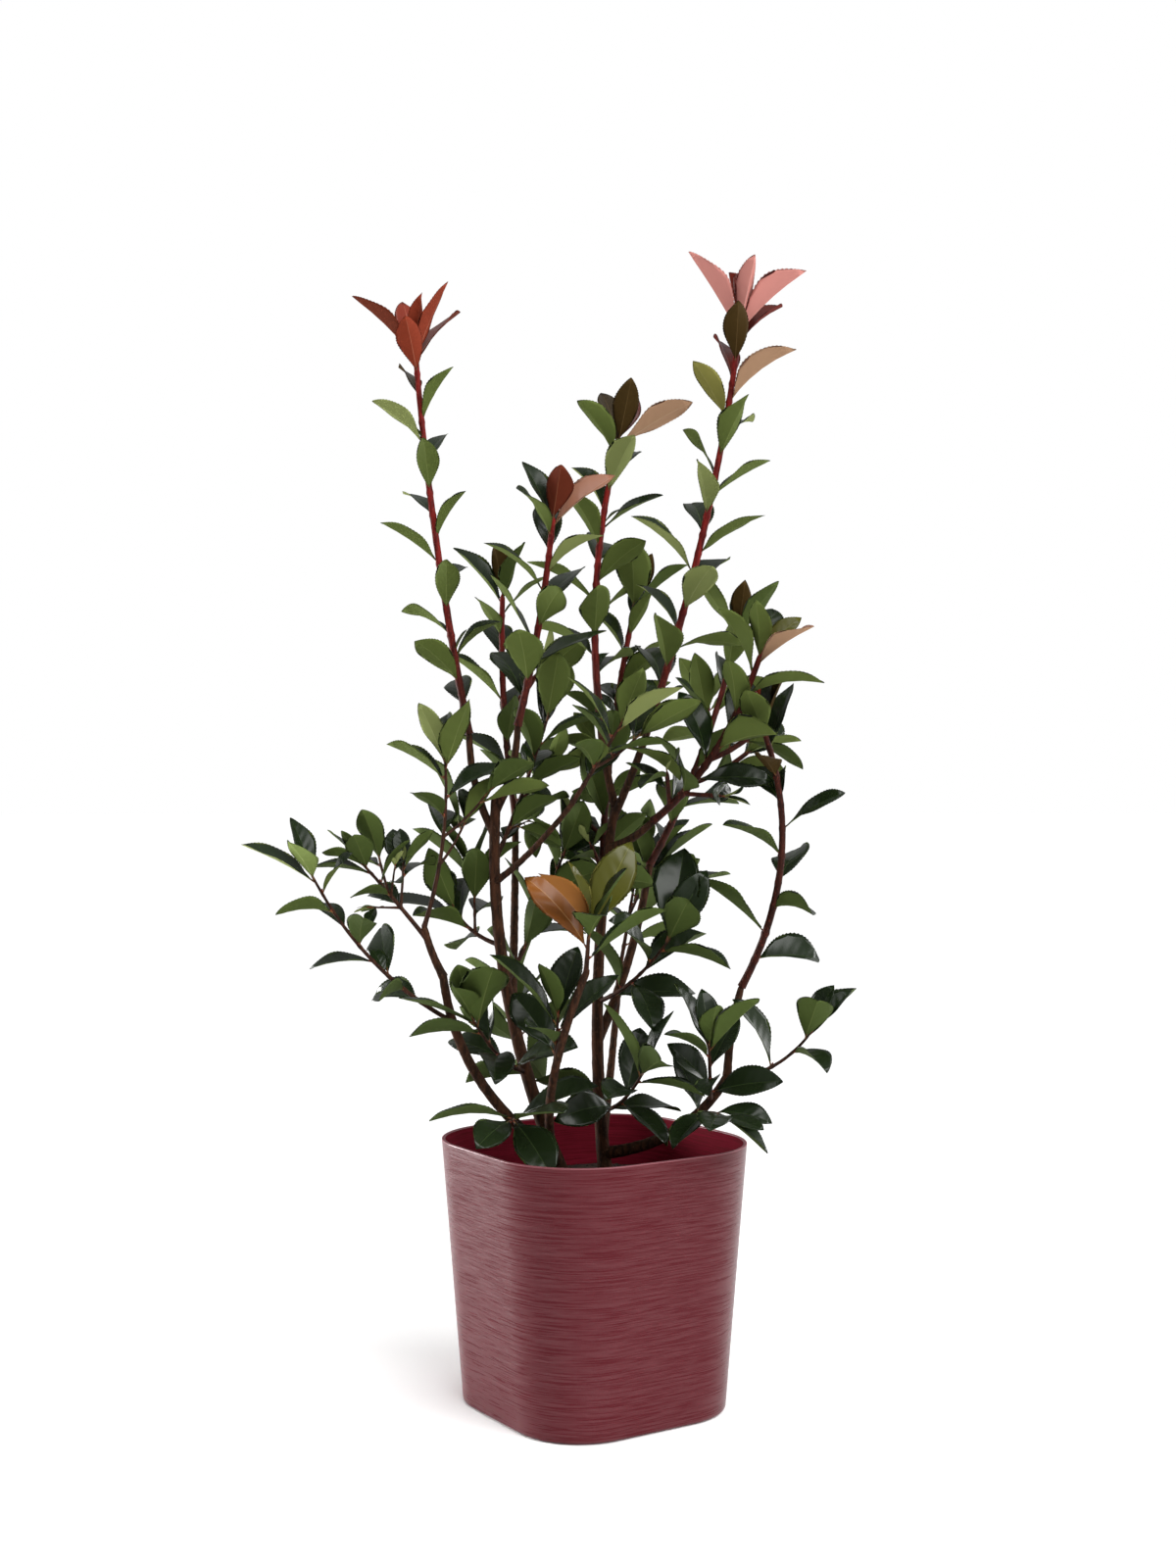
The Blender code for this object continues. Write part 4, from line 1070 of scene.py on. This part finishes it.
def makeWood():
    tree = makeWoodTree()

    def wrap(name, lines, form, bark, slot, nodes):
        places, radii, edges = [], [], []
        for line, widths in lines:
            edges.extend((len(places) + i, len(places) + i + 1) for i in range(len(line) - 1))
            places.extend(line)
            radii.extend(widths)
        piece = runTree(name, pointMesh(name, places, {"radius": radii}, edges), tree,
                        {"Sides": form["sides"], "Relief": form["relief"], "Grain": form["grain"], "Bark": bark})
        keep(piece, slot, *nodes)

    oldBark = barkFinish("oldBark")
    for name, limbTable, form in (("stemsBark", stems, barkForm), ("boughsBark", boughs, boughForm)):
        names = [limb[0] for limb in limbTable]
        wrap(name, [limbLine(limbs[limb], form) for limb in names], form, oldBark, "bark", names)
    for name, bark, form in (("redShoots", "redBark", redShootBark), ("brownShoots", "brownBark", shootBark)):
        chosen = [shoot for shoot in grown if (shoot.name in redShoots) == (form is redShootBark)]
        lines = []
        for shoot in chosen:
            for number, axis in enumerate(shoot.axes()):
                nodes = [entry["t"] for entry in shoot.leaves
                         if entry["branch"] == number and entry["group"] == "side"]
                lines.append(limbLine(axis, form, nodes))
        wrap(name, lines, form, barkFinish(bark), "bark", [shoot.name for shoot in chosen])
    lines = [stalkLine(entry) for shoot in grown for entry in shoot.leaves]
    wrap("leafStalks", lines, stalkForm, barkFinish("stalkSkin"), "foliage", [shoot.name for shoot in grown])


budForm = {
    "length": 0.0042, "width": 0.0017, "tipLength": 0.0075, "sides": 6, "rings": 3, "ringsFrom": 0.15,
    "ringsOver": 0.6, "bellyFrom": 0.18, "bellyOver": 0.66, "upright": 1.4, "lift": 0.0012, "outward": 0.8,
}


def makeBuds():
    # a pointed bud in the axil of every leaf, and a longer one at each tip
    form = budForm
    rings = []
    for i in range(form["rings"]):
        height = form["ringsFrom"] + form["ringsOver"] * i / (form["rings"] - 1)
        belly = math.sin(math.pi * (form["bellyFrom"] + form["bellyOver"] * height)) * 0.5
        rings.append(circle(belly, height, form["sides"]))
    solid = loft(rings, Vector((0, 0, 1)), Vector((0, 0, 0)))
    bmesh.ops.recalc_face_normals(solid, faces=solid.faces[:])
    bud = linked("budShape", solid)

    board = GeometryBoard("setBuds", Bud="Object", Skin="Material")
    turn = board.add("FunctionNodeAlignRotationToVector",
                     {"Vector": board.attribute("along", "FLOAT_VECTOR")}, axis="Z")
    buds = board.copies(board.given(), "Bud", Rotation=turn, Scale=board.attribute("size", "FLOAT_VECTOR"))
    tree = board.finish(board.coated(board.smoothed(buds), "Skin"))

    places, headings, sizes = [], [], []

    def addBud(place, heading, length):
        places.append(place)
        headings.append(heading)
        sizes.append(Vector((form["width"], form["width"], length)))

    for shoot in grown:
        for entry in shoot.leaves:
            if entry["group"] != "side":
                continue
            axis, t, along = entry["axis"], entry["t"], entry["leaf"][1]
            ahead = axis.direction(t)
            out = (along - ahead * along.dot(ahead)).normalized()
            addBud(axis.curve(t) + out * axis.radius(t) * form["outward"] + ahead * form["lift"],
                   (ahead * form["upright"] + along).normalized(), form["length"])
        for axis in shoot.axes():
            addBud(axis.curve(fineGrowth["tipAt"]), axis.direction(1.0), form["tipLength"])
    points = pointMesh("budPoints", places, {"along": headings, "size": sizes})
    piece = runTree("buds", points, tree, {"Bud": bud, "Skin": barkFinish("budSkin")})
    bpy.data.objects.remove(bud)
    keep(piece, "foliage", *[shoot.name for shoot in grown])


# The planter and its fill

potForm = {
    "height": 0.268, "rimSide": 0.276, "footSide": 0.232, "rimCorner": 0.092, "footCorner": 0.070,
    "wall": 0.0036, "floor": 0.005, "footEdge": 0.004, "rimEdge": 0.0012, "turn": math.radians(33),
    "cornerSteps": 20, "edgeSteps": 5, "wallSteps": 12, "sharpFrom": math.radians(50),
}
# name, colour of the streaks and between them, gloss, coat, roughness
plasticSkins = (
    ("burgundyPlastic", (91, 27, 35), (101, 34, 42), 0.10, 0.40, 0.24),
    # the rim: the same plastic painted paler along its rounded lip, a painted highlight
    ("burgundyRim", (136, 74, 82), (148, 86, 94), 0.30, 0.0, 0.34),
    # the inside wall: the same plastic painted a brighter crimson, painted bounce light inside the pot, and matte
    ("burgundyInside", (104, 20, 32), (132, 30, 48), 0.04, 0.0, 0.80),
)
# Fine and broad streaks: scale round and up the wall, roughness of the noise, share of the relief.
plasticForm = {
    "fine": (Vector((24, 760, 1)), 0.65, 0.72), "broad": (Vector((9, 300, 1)), 0.6, 0.28),
    "streakEnds": (0.38, 0.62), "coatEnds": (0.43, 0.57), "coatRoughness": 0.24, "roughened": 0.20,
    "relief": 0.25, "depth": 0.0008,
}


def potRing(height, inset=0.0):
    form = potForm
    share = height / form["height"]
    side = form["footSide"] + (form["rimSide"] - form["footSide"]) * share - 2 * inset
    rounding = form["footCorner"] + (form["rimCorner"] - form["footCorner"]) * share - inset
    turn = Matrix.Rotation(form["turn"], 3, "Z")
    ring = []
    for quarter in range(4):
        middle = (math.pi / 2) * quarter + math.pi / 4
        centre = Vector((math.cos(middle), math.sin(middle), 0)) * math.sqrt(2) * (side / 2 - rounding)
        for step in range(form["cornerSteps"] + 1):
            angle = (math.pi / 2) * (quarter + step / form["cornerSteps"])
            spot = centre + Vector((math.cos(angle), math.sin(angle), 0)) * rounding
            ring.append(turn @ spot + Vector((0, 0, height)))
    return ring


def mapRings(solid, rings, changes):
    # a map of metres round the wall and metres up it. At each change the next material starts.
    uv = solid.loops.layers.uv.new("wallMap")
    count = len(rings[0])
    rounds = [0.0]
    for i in range(count):
        rounds.append(rounds[-1] + (rings[0][(i + 1) % count] - rings[0][i]).length)
    faces = iter(solid.faces)
    level = 0.0
    for number, (low, high) in enumerate(zip(rings, rings[1:])):
        rise = (high[0] - low[0]).length
        for i, face in zip(range(count), faces):
            face.material_index = sum(number >= change for change in changes)
            corners = ((rounds[i], level), (rounds[i + 1], level),
                       (rounds[i + 1], level + rise), (rounds[i], level + rise))
            for loop, spot in zip(face.loops, corners):
                loop[uv].uv = spot
        level += rise
    for face in solid.faces:
        face.smooth = True


def plasticFinish(name, dark, pale, gloss, coat, roughness):
    # moulded plastic with fine streaks brushed round the wall, which catch the light too
    form = plasticForm
    finish = Finish(name, Gloss=gloss, CoatRoughness=form["coatRoughness"])
    place = finish.mapped("wallMap")
    fine, broad = [finish.noise(place * shape, 1.0, 3, rough) * share
                   for shape, rough, share in (form["fine"], form["broad"])]
    relief = fine + broad
    streak = finish.ramp(relief, *form["streakEnds"])
    finish.set(BaseColor=finish.blend(tint(*dark), tint(*pale), streak),
               Roughness=roughness + streak * form["roughened"],
               CoatWeight=finish.ramp(relief, *form["coatEnds"]) * coat,
               Normal=finish.bump(relief, form["relief"], form["depth"]))
    return finish.material


def makePot():
    form = potForm
    steps, foot, rim = form["edgeSteps"], form["footEdge"], form["rimEdge"]
    rings = []
    for step in range(steps + 1):
        angle = math.pi / 2 * step / steps
        rings.append(potRing(foot * (1 - math.cos(angle)), foot * (1 - math.sin(angle))))
    for step in range(1, form["wallSteps"]):
        rings.append(potRing(foot + (form["height"] - foot - rim) * step / form["wallSteps"]))
    for step in range(2 * steps + 1):
        angle = math.pi * step / (2 * steps)
        inset = rim * (1 - math.cos(angle))
        if angle > math.pi / 2:
            inset += form["wall"] - 2 * rim
        rings.append(potRing(form["height"] - rim * (1 - math.sin(angle)), inset))
    changes = (len(rings) - 2 * steps - 1, len(rings) - 1)
    rings.append(potRing(form["floor"], form["wall"]))
    solid = loft(rings, split=False)
    mapRings(solid, rings, changes)
    bmesh.ops.recalc_face_normals(solid, faces=solid.faces[:])
    piece = linked("planterShell", solid, *[plasticFinish(*facts) for facts in plasticSkins])
    piece.data.set_sharp_from_angle(angle=form["sharpFrom"])
    keep(piece, "pot", "pot")


compostForm = {
    "level": 0.215, "topFrom": 0.205, "rings": 26, "floorGap": 0.0003, "lump": 0.0060, "lumpScale": 38.0,
    "sunk": 0.62, "dark": (34, 25, 20), "pale": (74, 54, 40), "grainScale": 150.0, "paleEnds": (0.38, 0.68),
    "roughness": 0.86, "roughened": 0.1, "relief": 0.8, "depth": 0.002,
}
crumbForm = {"Density": 26000.0, "Smallest": 0.0007, "Largest": 0.0026, "Seed": 11}
crumbShape = {"seed": 3, "radii": (0.62, 1.1), "turns": Vector((6.3, 6.3, 6.3)), "smallMore": 3.0}


def onTop(board):
    # true for what stands higher than the group's From
    height = board.part(board.place(), "Z")
    return board.add("FunctionNodeCompare", {"A": height, "B": board.given("From")}, operation="GREATER_THAN")


def makeCompost():
    form = compostForm
    inset = potForm["wall"] + form["floorGap"]
    centre = Vector((0, 0, form["level"]))
    outline = potRing(form["level"], inset)
    rings = [potRing(potForm["floor"] + form["floorGap"], inset)]
    for k in range(form["rings"]):
        rings.append([centre.lerp(corner, 1 - k / form["rings"]) for corner in outline])
    solid = loft(rings, centre, split=False)
    bmesh.ops.recalc_face_normals(solid, faces=solid.faces[:])
    mesh = bpy.data.meshes.new("compostFill")
    solid.to_mesh(mesh)
    solid.free()

    earth = Finish("compostEarth")
    place = earth.place()
    grains = earth.noise(place, form["grainScale"], 5, 0.65)
    clods = earth.noise(place, form["lumpScale"], 2)
    pale = earth.ramp(grains, *form["paleEnds"])
    earth.set(BaseColor=earth.blend(tint(*form["dark"]), tint(*form["pale"]), pale),
              Roughness=form["roughness"] + clods * form["roughened"],
              Normal=earth.bump(grains + clods, form["relief"], form["depth"]))

    board = GeometryBoard("lumpCompost", Lump=form["lump"], Scale=form["lumpScale"], From=form["topFrom"],
                          Earth="Material")
    lumps = (board.noise(board.place(), board.given("Scale"), 3.0) - form["sunk"]) * board.given("Lump")
    rise = board.add("ShaderNodeCombineXYZ", {"Z": lumps})
    ground = board.smoothed(board.moved(board.given(), Selection=onTop(board), Offset=rise))
    tree = board.finish(board.coated(ground, "Earth"))
    piece = runTree("compostFill", mesh, tree, {"Earth": earth.material})
    keep(piece, "compost", "compost")
    makeCrumbs(piece.data.copy(), earth.material)


def makeCrumbs(mesh, earth):
    form = crumbShape
    crumb = bmesh.new()
    bmesh.ops.create_icosphere(crumb, subdivisions=1, radius=1.0)
    rough = random.Random(form["seed"])
    for corner in crumb.verts:
        corner.co *= rough.uniform(*form["radii"])
    crumb = linked("crumbShape", crumb)

    board = GeometryBoard("scatterCrumbs", Crumb="Object", Earth="Material", From=compostForm["topFrom"],
                          **crumbForm)
    given = board.given
    points = board.add("GeometryNodeDistributePointsOnFaces",
                       {"Mesh": given(), "Selection": onTop(board), "Density": given("Density"),
                        "Seed": given("Seed")})
    spin = board.add("FunctionNodeRandomValue", {0: Vector((0, 0, 0)), 1: form["turns"], "Seed": given("Seed") + 1},
                     data_type="FLOAT_VECTOR")
    size = board.add("FunctionNodeRandomValue", {0: 0.0, 1: 1.0, "Seed": given("Seed") + 2})
    size = given("Smallest") + (given("Largest") - given("Smallest")) * size ** form["smallMore"]
    turned = board.add("FunctionNodeEulerToRotation", {"Euler": spin})
    crumbs = board.copies(points, "Crumb", Rotation=turned, Scale=size)
    tree = board.finish(board.coated(crumbs, "Earth"))
    piece = runTree("compostCrumbs", mesh, tree, {"Crumb": crumb, "Earth": earth})
    bpy.data.objects.remove(crumb)
    keep(piece, "compost", "compost")


# Floor, light and camera

studio = {
    "floorRadius": 40.0, "floorSides": 64, "floorDrop": 0.0005, "floor": (252, 252, 252),
    "floorRoughness": 0.9, "skyLight": 0.32, "skyShown": 1.0,
    "sun": 3.6, "sunWidth": math.radians(55), "sunFrom": (0.94, -1.02, 1.30),
    "camera": (-0.0055, -2.0, 0.630), "lens": 45.0,
}
# name: place, size, watts, aimed at, degrees of its beam
softboxes = {
    "sideLight": ((-2.3, 1.0, 0.50), 1.1, 8.3, (0, 0, 0.20), 42),
    "rimLight": ((2.3, 1.3, 1.2), 1.4, 26, (0, 0, 0.5), 180),
    "topLight": ((-0.5, -0.3, 2.8), 1.4, 14, (0, 0, 0.7), 180),
}


def makeStudio():
    mesh = bpy.data.meshes.new("floor")
    sides = studio["floorSides"]
    mesh.from_pydata(circle(studio["floorRadius"], 0.0, sides), [], [list(range(sides))])
    finish = Finish("paleFloor", BaseColor=tint(*studio["floor"], 1), Roughness=studio["floorRoughness"])
    mesh.materials.append(finish.material)
    floor = placed("floor", mesh)
    floor.location.z = -studio["floorDrop"]

    # the sky shows white behind the plant, and lights it less than it shows
    scene.world = bpy.data.worlds.new("studio")
    scene.world.use_nodes = True
    sky = Board(scene.world.node_tree)
    sky.tree.nodes.clear()
    seen = sky.add("ShaderNodeLightPath", out="Is Camera Ray")
    lit, shown = [sky.add("ShaderNodeBackground", {"Color": (1, 1, 1, 1), "Strength": studio[name]})
                  for name in ("skyLight", "skyShown")]
    mixed = sky.add("ShaderNodeMixShader", {0: seen, 1: lit, 2: shown})
    leave = sky.tree.nodes.new("ShaderNodeOutputWorld")
    sky.feed(leave.inputs["Surface"], mixed)

    sun = bpy.data.lights.new("sun", "SUN")
    sun.energy = studio["sun"]
    sun.angle = studio["sunWidth"]
    placed("sun", sun).rotation_euler = Vector(studio["sunFrom"]).to_track_quat("Z", "Y").to_euler()
    for name, (place, size, watts, target, beam) in softboxes.items():
        lamp = bpy.data.lights.new(name, "AREA")
        lamp.shape = "DISK"
        lamp.size = size
        lamp.energy = watts
        lamp.spread = math.radians(beam)
        box = placed(name, lamp)
        box.location = place
        box.rotation_euler = (Vector(target) - Vector(place)).to_track_quat("-Z", "Y").to_euler()

    lens = bpy.data.cameras.new("camera")
    lens.lens = studio["lens"]
    camera = placed("camera", lens)
    camera.location = studio["camera"]
    camera.rotation_euler = (math.radians(90), 0, 0)
    scene.camera = camera
    scene.view_settings.view_transform = "Standard"
    print("studio:", 1 + len(softboxes), "lights, floor, sky and camera")


makePot()
makeCompost()
makeWood()
makeLeaves()
makeBuds()
makeStudio()
